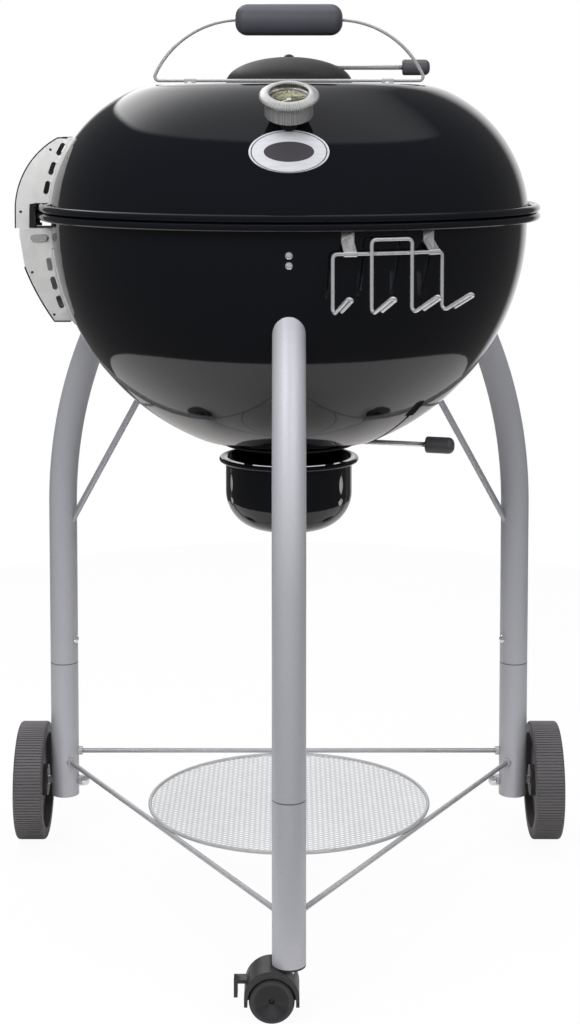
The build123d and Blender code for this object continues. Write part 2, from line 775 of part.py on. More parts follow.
thermometer_point, thermometer_normal = lid_point(-90, thermometer_z)
thermometer_axis = Vector(0, -cos(radians(thermometer_tilt)), sin(radians(thermometer_tilt)))
thermometer_plane = Plane(origin=thermometer_point, x_dir=(1, 0, 0), z_dir=thermometer_axis)
case_low = stem_out
case_high = stem_out + case_depth
dial_low = case_high - dial_drop - dial_thickness
glass_low = case_high + bezel_height - glass_thickness - 2.6


def make_thermometer_case():
    """Round cup behind the dial, with a hole for the stem."""
    cup = rect(0, case_low, case_diameter / 2, case_high)
    cup -= rect(0, case_low + case_wall, case_diameter / 2 - case_wall, case_high)
    cup -= rect(0, case_low, stem_diameter / 2 + seat_gap, case_high)
    return thermometer_plane * spun(cup)


def make_thermometer_bezel():
    """Wide ring that holds the glass over the dial: its face falls away outwards."""
    inner = bezel_opening / 2
    outer = bezel_diameter / 2
    groove = inner + 2
    top = case_high + bezel_height
    corners = [
        (groove, case_high + seat_gap),
        (outer - 1.5, case_high + seat_gap),
        (outer, case_high + 1.6),
        (outer, case_high + 3.4),
        (inner + 3.4, top),
        (inner + 1.2, top),
        (inner, top - 1.2),
        (inner, glass_low + glass_thickness + seat_gap),
        (groove, glass_low + glass_thickness + seat_gap),
    ]
    return thermometer_plane * spun(make_face(Polyline(*corners, close=True)))


def make_thermometer_dial():
    """Dial plate inside the case."""
    edge = case_diameter / 2 - case_wall - seat_gap
    disc = rect(needle_width / 4 + running_fit, dial_low, edge, dial_low + dial_thickness)
    return thermometer_plane * spun(disc)


def make_thermometer_glass():
    """Flat glass under the bezel's lip."""
    disc = rect(0, glass_low, bezel_opening / 2 + 2 - seat_gap, glass_low + glass_thickness)
    return thermometer_plane * spun(disc)


def make_thermometer_needle():
    """Needle on its spindle, which runs through the dial."""
    low = dial_low + dial_thickness + body_gap
    spindle = Pos(0, 0, low - 2) * Cylinder(needle_width / 4, 6)
    hub = Pos(0, 0, low) * extrude(Circle(needle_width), amount=0.9)
    tip = Polyline((-needle_width / 2, 0), (0, needle_length), (needle_width / 2, 0), close=True)
    hand = Pos(0, 0, low) * extrude(make_face(tip), amount=0.5)
    return thermometer_plane * Rot(0, 0, needle_rest) * (spindle + hub + hand)


def make_thermometer_stem():
    """Threaded stem from the case through the grommet, ending in a thin probe inside the lid."""
    lock = stem_out + case_wall
    stem = rod((0, 0, -14), (0, 0, lock + 3), stem_diameter)
    stem += rod((0, 0, -probe_length), (0, 0, -14), probe_diameter)
    stem += Pos(0, 0, lock + seat_gap) * extrude(RegularPolygon(stem_diameter, 6), amount=3)
    stem += Pos(0, 0, stem_out - 3 - seat_gap) * extrude(Circle(0.9 * stem_diameter), amount=3)
    return thermometer_plane * stem


def make_thermometer_grommet():
    """Two-lipped grommet in the lid's hole, bored at the stem's angle."""
    plane = Plane(origin=thermometer_point, z_dir=thermometer_normal)
    lip = grommet_diameter / 2
    core = grommet_core_diameter / 2
    sag = lip**2 / (2 * lid_shoulder_radius)
    under = -sheet - seat_gap - sag
    profile = rect(0, under - grommet_lip, lip, under) + rect(0, seat_gap, lip, seat_gap + grommet_lip)
    profile += rect(0, under, core, seat_gap)
    grommet = plane * spun(profile)
    return grommet - thermometer_plane * Cylinder(stem_diameter / 2 + seat_gap, 4 * grommet_diameter)


def make_oval_plate():
    """Plain oval plate that follows the lid's curve, notched round the thermometer's grommet."""
    point, out = lid_point(-90, plate_z)
    plane = Plane(origin=point, x_dir=(1, 0, 0), z_dir=out)
    column = extrude(plane * Ellipse(plate_width / 2, plate_height / 2), amount=30, both=True)
    band = lid_band(seat_gap, seat_gap + plate_thickness, plate_z - plate_height, plate_z + plate_height)
    notch = drill(thermometer_point, thermometer_normal, grommet_diameter + 2 * body_gap, 8)
    return (band & column) - notch


# Bottom damper

damper_top = bowl_floor_z - body_gap
damper_lever_z = damper_top - damper_sheet - lever_diameter / 2 - 3 * seat_gap


def make_damper_disc():
    """Shallow dish under the bowl: a flat centre with air holes and a skirt that flares down."""
    flat = damper_flat_diameter / 2
    edge = damper_diameter / 2
    low = damper_top - damper_drop
    corners = [
        (0, damper_top),
        (flat, damper_top),
        (edge, low),
        (edge, low - 2),
        (edge - 1.5, low - 2),
        (flat, damper_top - damper_sheet),
        (0, damper_top - damper_sheet),
    ]
    disc = spun(make_face(Polyline(*corners, close=True)))
    cuts = [drill((0, 0, damper_top), (0, 0, 1), pivot_diameter + 2 * running_fit, 6)]
    for step in range(damper_holes):
        spot = polar(damper_hole_circle, 360 / damper_holes * step, damper_top)
        cuts.append(drill(spot, (0, 0, 1), damper_hole_diameter, 6))
    way = polar(1, damper_lever_azimuth, 0)
    exit_point = way * (flat + edge) / 2 + (0, 0, damper_lever_z)
    cuts.append(drill(exit_point, way, lever_diameter + 2 * seat_gap, edge - flat))
    return disc - cuts


def make_damper_lever():
    """Lever rod welded under the damper's flat."""
    start = damper_flat_diameter / 2 - 12
    lever = rod((start, 0, damper_lever_z), (damper_lever_length, 0, damper_lever_z), lever_diameter)
    return Rot(0, 0, damper_lever_azimuth) * lever


def make_damper_knob():
    """Heat-proof knob on the bottom lever."""
    return Rot(0, 0, damper_lever_azimuth) * Pos(0, 0, damper_lever_z) * knob(damper_lever_length)


def make_damper_pivot():
    """Fixed pivot of the damper, headed over inside the bowl and below the damper."""
    high = bowl_floor_z + sheet + seat_gap
    low = damper_top - damper_sheet - body_gap
    pin = rod((0, 0, low), (0, 0, high), pivot_diameter)
    pin += Pos(0, 0, high) * dome(pivot_head_diameter, pivot_head_height)
    return pin + Pos(0, 0, low) * Rot(180, 0, 0) * dome(pivot_head_diameter, pivot_head_height)


# Ash pot

def make_ash_pot():
    """Deep pot with a rounded bottom, a rolled rim and a leaf and a flower cut out at three places."""
    half = pot_diameter / 2
    low = pot_rim_z - pot_depth
    outline = rect(0, low, half, pot_rim_z)
    corner = outline.vertices().sort_by(Axis.Y)[:2].sort_by(Axis.X)[-1]
    outline = fillet(corner, pot_corner_radius)
    inner_outline = rect(0, low + pot_sheet, half - pot_sheet, pot_rim_z)
    inner_corner = inner_outline.vertices().sort_by(Axis.Y)[:2].sort_by(Axis.X)[-1]
    inner_outline = fillet(inner_corner, pot_corner_radius - pot_sheet)
    rim = pot_rim_diameter / 2
    lip = rect(half - pot_sheet, pot_rim_z - pot_sheet, rim - pot_bead_radius, pot_rim_z)
    bead = Pos(rim - pot_bead_radius, pot_rim_z - pot_bead_radius) * Circle(pot_bead_radius)
    pot = spun(outline - inner_outline + lip + bead)
    half_leaf = pot_leaf_width / 2
    leaf_arc = (pot_leaf_height**2 / 4 + half_leaf**2) / pot_leaf_width
    leaf = Pos(leaf_arc - half_leaf, 0) * Circle(leaf_arc) & Pos(half_leaf - leaf_arc, 0) * Circle(leaf_arc)
    petals = PolarLocations(pot_petal_circle, pot_petals, start_angle=90) * Circle(pot_petal_diameter / 2)
    window = Pos(0, pot_rim_z - pot_leaf_drop) * leaf
    window += Pos(0, pot_rim_z - pot_flower_drop) * (Circle(pot_petal_circle) + petals)
    cutter = extrude(Plane.XZ * window, amount=pot_diameter)
    for turn in pot_window_turns:
        pot -= Rot(0, 0, turn) * cutter
    return pot


def make_ash_pot_clips():
    """Spring clips under the bowl that grip the pot's rolled rim from outside."""
    inner = pot_clip_radius
    outer = inner + pot_clip_sheet
    top = bowl_floor_z - seat_gap
    bead_z = pot_rim_z - pot_bead_radius
    corners = [
        (inner, top),
        (outer + pot_clip_foot, top),
        (outer + pot_clip_foot, top - pot_clip_sheet),
        (outer, top - pot_clip_sheet),
        (outer, bead_z - 6),
        (outer + 4, bead_z - 12),
        (inner + 4, bead_z - 12),
        (inner, bead_z - 6),
    ]
    outline = Plane.XZ * make_face(Polyline(*corners, close=True))
    strap = extrude(outline, amount=pot_clip_width / 2, both=True)
    hole = drill((pot_clip_screw_radius, 0, top), (0, 0, 1), bracket_screw_diameter + 2 * seat_gap, 4)
    return [Rot(0, 0, azimuth) * (strap - hole) for azimuth in pot_clip_azimuths]


def make_ash_pot_clip_screws():
    """Screws that hold the pot's clips to the bowl's floor, heads below."""
    z = bowl_floor_z - seat_gap - pot_clip_sheet - 0.05
    return [
        screw(polar(pot_clip_screw_radius, azimuth, z), (0, 0, -1), bracket_screw_head, 2.4,
              bracket_screw_diameter, pot_clip_sheet + sheet + 4)
        for azimuth in pot_clip_azimuths
    ]


# Grates

def wire_grate(diameter, ring_wire, wire, pitch, z):
    """Round grate: parallel wires and two cross wires welded into a ring."""
    radius = diameter / 2 - ring_wire / 2
    grate = Pos(0, 0, z) * Torus(radius, ring_wire / 2)
    count = int(radius / pitch)
    wires = []
    for step in range(-count, count + 1):
        reach = sqrt(radius**2 - (step * pitch) ** 2)
        wires.append(rod((step * pitch, -reach, z), (step * pitch, reach, z), wire))
    drop = 0.8 * wire
    for side in (-0.5, 0.5):
        reach = sqrt((radius - bracket_reach) ** 2 - (side * radius) ** 2)
        wires.append(rod((-reach, side * radius, z - drop), (reach, side * radius, z - drop), wire))
    return grate + wires


def make_cooking_grate():
    """Cooking grate on the three brackets near the rim."""
    return wire_grate(grate_diameter, grate_ring_wire, grate_wire, grate_pitch, grate_z)


def make_charcoal_grate():
    """Charcoal grate, wedged where the bowl is as wide as its ring."""
    radius = coal_grate_diameter / 2 - grate_ring_wire / 2
    room = bowl_inner_radius - grate_ring_wire / 2 - body_gap
    z = bowl_centre_z - sqrt(room**2 - radius**2)
    return wire_grate(coal_grate_diameter, grate_ring_wire, grate_wire, coal_grate_pitch, z)


def make_grate_brackets():
    """Three curved straps inside the bowl, each with a tab under the cooking grate."""
    inside = -sheet - body_gap
    tab_z = grate_z - grate_ring_wire / 2 - body_gap
    foot_z = rim_z - bracket_screw_drops[-1] - 8
    strap = bowl_ball(inside) - bowl_ball(inside - bracket_sheet)
    half = bracket_width / 2
    strap &= slab((0, kettle_radius), (-half, half), (foot_z, tab_z))
    tab = slab((kettle_radius - bracket_reach, kettle_radius), (-half, half), (tab_z - bracket_sheet, tab_z))
    bracket = strap + (tab & bowl_ball(inside))
    brackets = []
    for azimuth in leg_azimuths.values():
        turned = Rot(0, 0, azimuth) * bracket
        cuts = [drill(at, way, bracket_screw_diameter + 2 * seat_gap, 10) for at, way in bracket_screws]
        brackets.append(turned - cuts)
    return brackets


def make_bracket_screws():
    """Screws that hold the grate brackets, heads outside the bowl."""
    length = sheet + bracket_sheet + 4
    return [
        screw(at + way.normalized() * seat_gap, way, bracket_screw_head, 2.6, bracket_screw_diameter, length)
        for at, way in bracket_screws
    ]


# Legs

def leg_path():
    """Axis of the front half of a leg in the plane of +X and +Z: straight, then bent in to the bowl."""
    over = 0.14
    straight = Line((leg_circle_radius, 0, leg_joint_z), (leg_circle_radius, 0, leg_bend_z))
    bend = Plane.XZ * CenterArc(
        (leg_bend_centre_r, leg_bend_z), leg_bend_radius, 0, degrees(leg_meet_angle + over))
    return Wire([straight, bend])


def make_leg_upper(azimuth):
    """Upper leg tube, cut to the bowl's curve and closed there by a saddle plate."""
    tube = pipe(leg_path(), tube_diameter) - bowl_ball(seat_gap)
    bore = pipe(leg_path(), tube_diameter - 2 * tube_wall) - bowl_ball(seat_gap + leg_saddle)
    leg = Rot(0, 0, azimuth) * (tube - bore)
    leg -= [drill(at, way, leg_bolt_diameter + 2 * seat_gap, 20) for at, way in leg_bolts]
    return leg - joint_screw_hole(azimuth)


def joint_screw_spot(azimuth):
    """Place on a leg's inner side where the joint screw's head rests, and the way it faces."""
    spot = polar(leg_circle_radius - tube_radius - 0.4, azimuth, leg_joint_z + joint_screw_rise)
    return spot, -polar(1, azimuth, 0)


def joint_screw_hole(azimuth):
    """Cutter for the hole of the joint screw."""
    spot, inwards = joint_screw_spot(azimuth)
    return drill(spot, inwards, joint_screw_diameter + 2 * seat_gap, tube_radius / 2)


def rod_ends(azimuth):
    """Directions and heights of the two shelf rods that end in the leg at an azimuth."""
    here = polar(leg_circle_radius, azimuth, 0)
    ends = []
    for other in leg_azimuths.values():
        if other != azimuth:
            away = polar(leg_circle_radius, other, 0) - here
            at_rear = azimuth != leg_azimuths["front"] and other != leg_azimuths["front"]
            ends.append((away.normalized(), rear_rod_z if at_rear else shelf_front_z))
    return here, ends


def make_leg_lower(azimuth):
    """Lower leg tube with holes for the shelf rods, and for the axle in a rear leg."""
    height = leg_joint_z - leg_end_z
    ring = Circle(tube_radius) - Circle(tube_radius - tube_wall)
    leg = Pos(*polar(leg_circle_radius, azimuth, leg_end_z)) * extrude(ring, amount=height - seat_gap)
    here, ends = rod_ends(azimuth)
    for away, z in ends:
        spot = here + away * tube_radius + (0, 0, z)
        leg -= drill(spot, away, shelf_rod_diameter + 2 * seat_gap, tube_radius / 2)
    if azimuth != leg_azimuths["front"]:
        leg -= drill(here + (0, 0, wheel_z), (1, 0, 0), axle_diameter + 2 * seat_gap, tube_diameter)
    return leg


def make_leg_joint_sleeves():
    """Inner sleeves that join the upper and lower tubes."""
    outer = tube_radius - tube_wall - running_fit
    ring = extrude(Circle(outer) - Circle(outer - sleeve_wall), amount=sleeve_length)
    low = leg_joint_z - sleeve_length / 2
    sleeves = []
    for azimuth in leg_azimuths.values():
        sleeves.append(Pos(*polar(leg_circle_radius, azimuth, low)) * ring - joint_screw_hole(azimuth))
    return sleeves


def make_leg_joint_screws():
    """Screws through the upper tubes into the sleeves, on the legs' inner sides."""
    length = tube_wall + sleeve_wall + 3
    screws = []
    for azimuth in leg_azimuths.values():
        spot, inwards = joint_screw_spot(azimuth)
        screws.append(screw(spot, inwards, joint_screw_head, 4, joint_screw_diameter, length))
    return screws


def make_leg_top_bolts():
    """Bolts from inside the bowl into the legs' saddles, each with its nut inside the tube."""
    pieces = []
    length = sheet + seat_gap + leg_saddle + leg_nut_height + 2
    for point, out in leg_bolts:
        way = out.normalized()
        seat = point - way * (sheet + 2 * seat_gap)
        pieces.append(screw(seat, -way, leg_bolt_head, 4, leg_bolt_diameter, length))
        nut_seat = point + way * (leg_saddle + 3 * seat_gap)
        bore = leg_bolt_diameter + 2 * running_fit
        pieces.append(hex_nut(nut_seat, way, leg_nut_flats, bore, leg_nut_height))
    return pieces


def make_stays():
    """Straight rods that brace each leg against the bowl, trimmed to both."""
    high_r = sqrt(kettle_radius**2 - (bowl_centre_z - stay_high_z) ** 2)
    low = Vector(leg_circle_radius - tube_radius, 0, stay_low_z)
    high = Vector(high_r, 0, stay_high_z)
    way = (high - low).normalized()
    bar = rod(low - way * tube_radius, high + way * tube_radius, stay_diameter)
    post = Pos(leg_circle_radius, 0, stay_low_z) * Cylinder(tube_radius + seat_gap, 8 * tube_radius)
    bar = bar - post - bowl_ball(seat_gap)
    return [Rot(0, 0, azimuth) * bar for azimuth in leg_azimuths.values()]


# Shelf

def make_shelf_rods():
    """Three rods between the legs: the mesh lies on the two front ones and below the rear one."""
    pairs = [
        ("front", "rear_left", shelf_front_z),
        ("front", "rear_right", shelf_front_z),
        ("rear_left", "rear_right", rear_rod_z),
    ]
    inset = tube_radius - tube_wall - 2.5
    rods = []
    for first, last, z in pairs:
        start = polar(leg_circle_radius, leg_azimuths[first], z)
        end = polar(leg_circle_radius, leg_azimuths[last], z)
        way = (end - start).normalized()
        rods.append(rod(start + way * inset, end - way * inset, shelf_rod_diameter))
    return rods


def make_shelf_rod_nuts():
    """Nuts on the rods' ends, trimmed to the legs."""
    nuts = []
    for azimuth in leg_azimuths.values():
        here, ends = rod_ends(azimuth)
        post = Pos(here.X, here.Y, shelf_front_z) * Cylinder(tube_radius + seat_gap, 4 * tube_radius)
        for away, z in ends:
            seat = here + away * (tube_radius - 2) + (0, 0, z)
            bore = shelf_rod_diameter + 2 * running_fit
            nuts.append(hex_nut(seat, away, rod_nut_flats, bore, rod_nut_height + 2) - post)
    return nuts


def make_shelf_ring():
    """Wire ring round the mesh, which touches all three rods."""
    return Pos(0, 0, shelf_ring_z) * Torus(shelf_ring_radius, shelf_ring_wire / 2 - running_fit)


def make_shelf_mesh():
    """Expanded-metal disc: one sheet with staggered diamond openings."""
    radius = shelf_ring_radius - shelf_ring_wire / 2 - seat_gap
    half_long = mesh_long_pitch / 2 - mesh_strand
    half_short = mesh_short_pitch / 2 - mesh_strand / 2
    rows = ceil(2 * radius / mesh_short_pitch)
    columns = ceil(radius / mesh_long_pitch) + 1
    diamond = Polyline((half_long, 0), (0, half_short), (-half_long, 0), (0, -half_short), close=True)
    field = Circle(radius - mesh_border)
    openings = []
    for row in range(-rows, rows + 1):
        shift = mesh_long_pitch / 2 * (row % 2)
        for column in range(-columns, columns + 1):
            x = column * mesh_long_pitch + shift
            y = row * mesh_short_pitch / 2
            opening = Pos(x, y) * make_face(diamond)
            if hypot(x, y) + half_long < radius - mesh_border:
                openings.append(opening)
            elif hypot(x, y) < radius - mesh_border:
                openings.append(opening & field)
    net = Circle(radius) - openings
    return Pos(0, 0, shelf_ring_z - mesh_thickness / 2) * extrude(net, amount=mesh_thickness)


# Rear wheels

def rear_leg_x():
    """Distance of a rear leg's axis from the grill's middle plane."""
    return leg_circle_radius * cos(radians(leg_azimuths["rear_right"]))


def rear_leg_y():
    """Distance of the rear legs' axes behind the kettle's axis."""
    return leg_circle_radius * sin(radians(leg_azimuths["rear_right"]))


wheel_inner_x = rear_leg_x() + tube_radius + wheel_clearance
hub_outer_x = wheel_inner_x + wheel_width - axle_head_height - 1


def make_wheel(side):
    """Rear wheel: ribbed tread, a recess in each face and a hub on the axle."""
    tread = Circle(wheel_diameter / 2)
    groove = Rectangle(2 * wheel_rib_height, wheel_rib_gap)
    tread -= PolarLocations(wheel_diameter / 2, wheel_ribs) * groove
    wheel = extrude(tread, amount=wheel_width)
    recess = Circle(wheel_rim_inner_diameter / 2) - Circle(wheel_hub_diameter / 2)
    wheel -= extrude(recess, amount=wheel_recess)
    wheel -= Pos(0, 0, wheel_width - wheel_recess) * extrude(recess, amount=wheel_recess)
    hub_end = extrude(Circle(wheel_hub_diameter / 2), amount=wheel_width)
    wheel -= Pos(0, 0, hub_outer_x - wheel_inner_x) * hub_end
    wheel -= Cylinder(axle_diameter / 2 + running_fit, 4 * wheel_width)
    plane = Plane(origin=(side * wheel_inner_x, rear_leg_y(), wheel_z), z_dir=(side, 0, 0))
    return plane * wheel


def make_wheel_axles():
    """Axle bolts: head outside the wheel, thread through the leg."""
    axles = []
    for side in (-1, 1):
        head = Vector(side * (hub_outer_x + body_gap), rear_leg_y(), wheel_z)
        length = hub_outer_x + body_gap - rear_leg_x() + tube_radius + cap_nut_length / 2
        axles.append(screw(head, (side, 0, 0), axle_head_diameter, axle_head_height, axle_diameter, length))
    return axles


def make_axle_cap_nuts():
    """Domed cap nuts on the axles' inner ends, trimmed to the legs."""
    nuts = []
    for side in (-1, 1):
        seat_x = rear_leg_x() - tube_radius + 3
        body = extrude(Circle(cap_nut_diameter / 2), amount=cap_nut_length + 3)
        body = fillet(body.edges().sort_by(Axis.Z)[-1], 0.42 * cap_nut_diameter)
        plane = Plane(origin=(side * seat_x, rear_leg_y(), wheel_z), z_dir=(-side, 0, 0))
        bore = Cylinder(axle_diameter / 2 + running_fit, cap_nut_length + 8)
        leg_spot = (side * rear_leg_x(), rear_leg_y(), wheel_z)
        post = drill(leg_spot, (0, 0, 1), tube_diameter + 2 * seat_gap, 4 * cap_nut_diameter)
        nuts.append(plane * (body - bore) - post)
    return nuts


# Caster

caster_wheel_radius = caster_wheel_diameter / 2
caster_x = -caster_trail
caster_y = -leg_circle_radius
hood_centre_z = caster_hood_top - caster_hood_radius
hood_half_width = caster_web / 2 + caster_play + caster_wheel_width + caster_play
brake_pivot = (caster_x - caster_hood_radius + brake_inset, hood_centre_z + brake_rise)


def make_caster_socket():
    """Plastic socket in the front leg's end, with a lip under the tube."""
    outer = tube_radius - tube_wall - running_fit
    bore = caster_stem_diameter / 2 + running_fit
    profile = rect(bore, leg_end_z, outer, leg_end_z + caster_socket_length)
    profile += rect(bore, leg_end_z - caster_socket_lip - seat_gap, tube_radius, leg_end_z - seat_gap)
    return Pos(0, caster_y, 0) * spun(profile + rect(bore, leg_end_z - 1, outer, leg_end_z))


def make_caster_hood():
    """Caster body: an arched hood over both wheels, a web between them and a seat for the stem."""
    low_z = caster_hood_skirt_z
    arch = Pos(caster_x, hood_centre_z) * Circle(caster_hood_radius)
    sides = rect(caster_x - caster_hood_radius, low_z, caster_x + caster_hood_radius, hood_centre_z)
    outline = arch + sides
    wheel_room = Pos(caster_x, caster_wheel_radius) * Circle(caster_wheel_radius + caster_wheel_room)
    hood = extrude(Plane.XZ * outline, amount=hood_half_width, both=True)
    reach = caster_wheel_radius + caster_wheel_room
    wheel_room += rect(caster_x - reach, 0, caster_x + reach, caster_wheel_radius)
    pocket = extrude(Plane.XZ * wheel_room, amount=hood_half_width + 1, both=True)
    web = extrude(Plane.XZ * outline, amount=caster_web / 2, both=True)
    hood = (hood - pocket) + web
    seat_z = leg_end_z - caster_socket_lip - seat_gap - body_gap
    hood -= Pos(0, 0, seat_z) * extrude(Circle(tube_radius + 1), amount=caster_hood_top)
    hood -= Pos(0, 0, seat_z) * Cylinder(caster_stem_diameter / 2 + seat_gap, 24)
    axle = (caster_x, 0, caster_wheel_radius)
    hood -= drill(axle, (0, 1, 0), caster_axle_diameter + 2 * seat_gap, 2 * hood_half_width)
    pivot = Pos(*brake_pivot) * Circle(brake_pivot_diameter / 2 + running_fit)
    mouth = rect(caster_x - 2 * caster_hood_radius, brake_pivot[1] - 9, brake_pivot[0], brake_pivot[1] + 5)
    hood -= extrude(Plane.XZ * (pivot + mouth), amount=brake_width / 2 + body_gap, both=True)
    return Pos(0, caster_y, 0) * hood


def make_caster_stem():
    """Steel stem, fixed in the hood and turning in the socket."""
    seat_z = leg_end_z - caster_socket_lip - seat_gap - body_gap
    low = (0, caster_y, seat_z - 12)
    return rod(low, (0, caster_y, seat_z + caster_stem_length), caster_stem_diameter)


def make_caster_wheel(side):
    """One of the two caster wheels, with a shallow dish in its outer face."""
    disc = fillet(extrude(Circle(caster_wheel_radius), amount=caster_wheel_width).edges(), 2.5)
    dish = Cylinder(0.72 * caster_wheel_radius, 2)
    disc -= Pos(0, 0, caster_wheel_width) * dish
    disc -= Cylinder(caster_axle_diameter / 2 + running_fit, 4 * caster_wheel_width)
    start = caster_y + side * (caster_web / 2 + caster_play)
    plane = Plane(origin=(caster_x, start, caster_wheel_radius), z_dir=(0, side, 0))
    return plane * disc


def make_caster_axle():
    """Axle that both caster wheels turn on, fixed in the web."""
    half = hood_half_width - 3
    centre = Vector(caster_x, caster_y, caster_wheel_radius)
    return rod(centre - (0, half, 0), centre + (0, half, 0), caster_axle_diameter)


def make_caster_brake():
    """Hooked brake pedal that pivots in the hood's mouth."""
    x, z = brake_pivot
    out = caster_x - caster_hood_radius - brake_reach
    arm = rect(out, z - brake_thickness / 2, x, z + brake_thickness / 2)
    hook = rect(out, z - brake_drop, out + brake_thickness, z)
    profile = arm + hook + Pos(x, z) * Circle(brake_pivot_diameter / 2)
    return Pos(0, caster_y, 0) * extrude(Plane.XZ * profile, amount=brake_width / 2, both=True)


# Tool rack

rack_bar_z = rim_z - rack_drop
rack_low_z = rim_z - rack_hook_drop


def hook(azimuth, corner):
    """Hook below a corner of the wire: from the tip down to its foot, then up to the corner."""
    foot = Vector(corner.X, corner.Y, rack_low_z)
    tip = foot + polar(rack_hook_reach, azimuth + rack_hook_skew, rack_hook_rise)
    return [tip, foot, corner]


def make_rack_outer_wire():
    """Outer wire: two hooks joined by a bar that follows the bowl."""
    first, last = rack_azimuths[0], rack_azimuths[-1]
    lead = rack_bend_radius + 1
    turn = degrees(lead / rack_radius)
    sides = []
    for azimuth, way in ((first, 1), (last, -1)):
        bar_end = polar(rack_radius, azimuth + way * turn, rack_bar_z)
        along = polar(-way * lead, azimuth + way * turn + 90, 0)
        points = hook(azimuth, bar_end + along) + [bar_end]
        sides += FilletPolyline(*points, radius=rack_bend_radius).edges()
    bar = Pos(0, 0, rack_bar_z) * CenterArc((0, 0), rack_radius, first + turn, last - first - 2 * turn)
    return pipe(Wire(sides + [bar]), rack_wire)


def make_rack_inner_wire():
    """Inner wire: two hooks joined by a raised bridge in front of the bar."""
    first, last = rack_azimuths[1], rack_azimuths[2]
    radius = rack_radius + rack_wire + seat_gap
    top = rack_bar_z + rack_inner_rise
    start = hook(first, polar(radius, first, top))
    end = hook(last, polar(radius, last, top))
    return pipe(FilletPolyline(*start, *reversed(end), radius=rack_bend_radius), rack_wire)


def make_rack_clips():
    """Two sheet clips: each lies on the bowl under the flange and wraps round the rack's bar."""
    half = rack_clip_sheet / 2
    wall_r = kettle_radius + 2 * seat_gap + half
    curl = rack_wire / 2 + 2 * seat_gap + half
    top_z = rim_z - 2 * bead_radius - 1
    bend_z = rack_bar_z + 3 * rack_wire
    spine = [
        Line((wall_r, top_z), (wall_r, bend_z)),
        Line((wall_r, bend_z), (rack_radius, rack_bar_z + curl)),
        CenterArc((rack_radius, rack_bar_z), curl, 90, -250),
    ]
    profile = trace(spine, rack_clip_sheet)
    clip = extrude(Plane.XZ * profile, amount=rack_clip_width / 2, both=True)
    return [Rot(0, 0, azimuth) * clip for azimuth in rack_clip_azimuths]


# All pieces, one node each

nodes = {
    "bowl": make_bowl(),
    "lid": make_lid(),
    "hinge_lid_bracket": make_hinge_lid_bracket(),
    "hinge_bowl_bracket": make_hinge_bowl_bracket(),
    "hinge_pin": make_hinge_pin(),
    "lid_fasteners": make_hinge_lid_rivets() + make_handle_screws(),
    "hinge_bowl_rivets": make_hinge_bowl_rivets(),
    "handle_wire": make_handle_wire(),
    "handle_grip": make_handle_grip(),
    "handle_clips": make_handle_clips(),
    "top_vent_cap": make_top_vent_cap(),
    "top_vent_shutter": make_top_vent_shutter(),
    "top_vent_lever": make_top_vent_lever(),
    "top_vent_knob": make_top_vent_knob(),
    "top_vent_pivot": make_top_vent_pivot(),
    "thermometer_case": make_thermometer_case(),
    "thermometer_bezel": make_thermometer_bezel(),
    "thermometer_dial": make_thermometer_dial(),
    "thermometer_glass": make_thermometer_glass(),
    "thermometer_needle": make_thermometer_needle(),
    "thermometer_stem": make_thermometer_stem(),
    "thermometer_grommet": make_thermometer_grommet(),
    "oval_plate": make_oval_plate(),
    "damper_disc": make_damper_disc(),
    "damper_lever": make_damper_lever(),
    "damper_knob": make_damper_knob(),
    "damper_pivot": make_damper_pivot(),
    "ash_pot": make_ash_pot(),
    "ash_pot_clips": make_ash_pot_clips(),
    "cooking_grate": make_cooking_grate(),
    "charcoal_grate": make_charcoal_grate(),
    "grate_brackets": make_grate_brackets(),
    "stand_screws": make_bracket_screws() + make_ash_pot_clip_screws() + make_leg_joint_screws(),
    "leg_joint_sleeves": make_leg_joint_sleeves(),
    "leg_top_bolts": make_leg_top_bolts(),
    "leg_stays": make_stays(),
    "shelf_rods": make_shelf_rods(),
    "shelf_rod_nuts": make_shelf_rod_nuts(),
    "shelf_ring": make_shelf_ring(),
    "shelf_mesh": make_shelf_mesh(),
    "left_wheel": make_wheel(-1),
    "right_wheel": make_wheel(1),
    "wheel_axles": make_wheel_axles(),
    "axle_cap_nuts": make_axle_cap_nuts(),
    "caster_socket": make_caster_socket(),
    "caster_hood": make_caster_hood(),
    "caster_stem": make_caster_stem(),
    "caster_front_wheel": make_caster_wheel(-1),
    "caster_rear_wheel": make_caster_wheel(1),
    "caster_axle": make_caster_axle(),
    "caster_brake": make_caster_brake(),
    "rack_outer_wire": make_rack_outer_wire(),
    "rack_inner_wire": make_rack_inner_wire(),
    "rack_clips": make_rack_clips(),
}
for leg, azimuth in leg_azimuths.items():
    nodes[leg + "_leg_upper"] = make_leg_upper(azimuth)
    nodes[leg + "_leg_lower"] = make_leg_lower(azimuth)

os.makedirs("parts", exist_ok=True)
for node, shape in nodes.items():
    if isinstance(shape, list):
        shape = Compound(children=shape)
    export_step(shape, "parts/" + node + ".step")
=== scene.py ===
# %% [markdown]
# # A kettle charcoal grill
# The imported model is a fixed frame: every piece already stands where it belongs, in metres. The front
# is -Y and the hinge is at -X. This script dresses the frame. The two enamelled shells and the bright
# wires are drawn again as fine numpy surfaces, because a mirror-like finish shows every flat facet. The
# shelf's net gets its real fine strands, and the wheels get their ribs. The other pieces are copies of
# their solids with smooth shading.

# %% load the frame
import json
from math import asin, atan2, cos, degrees, hypot, pi, radians, sin, sqrt

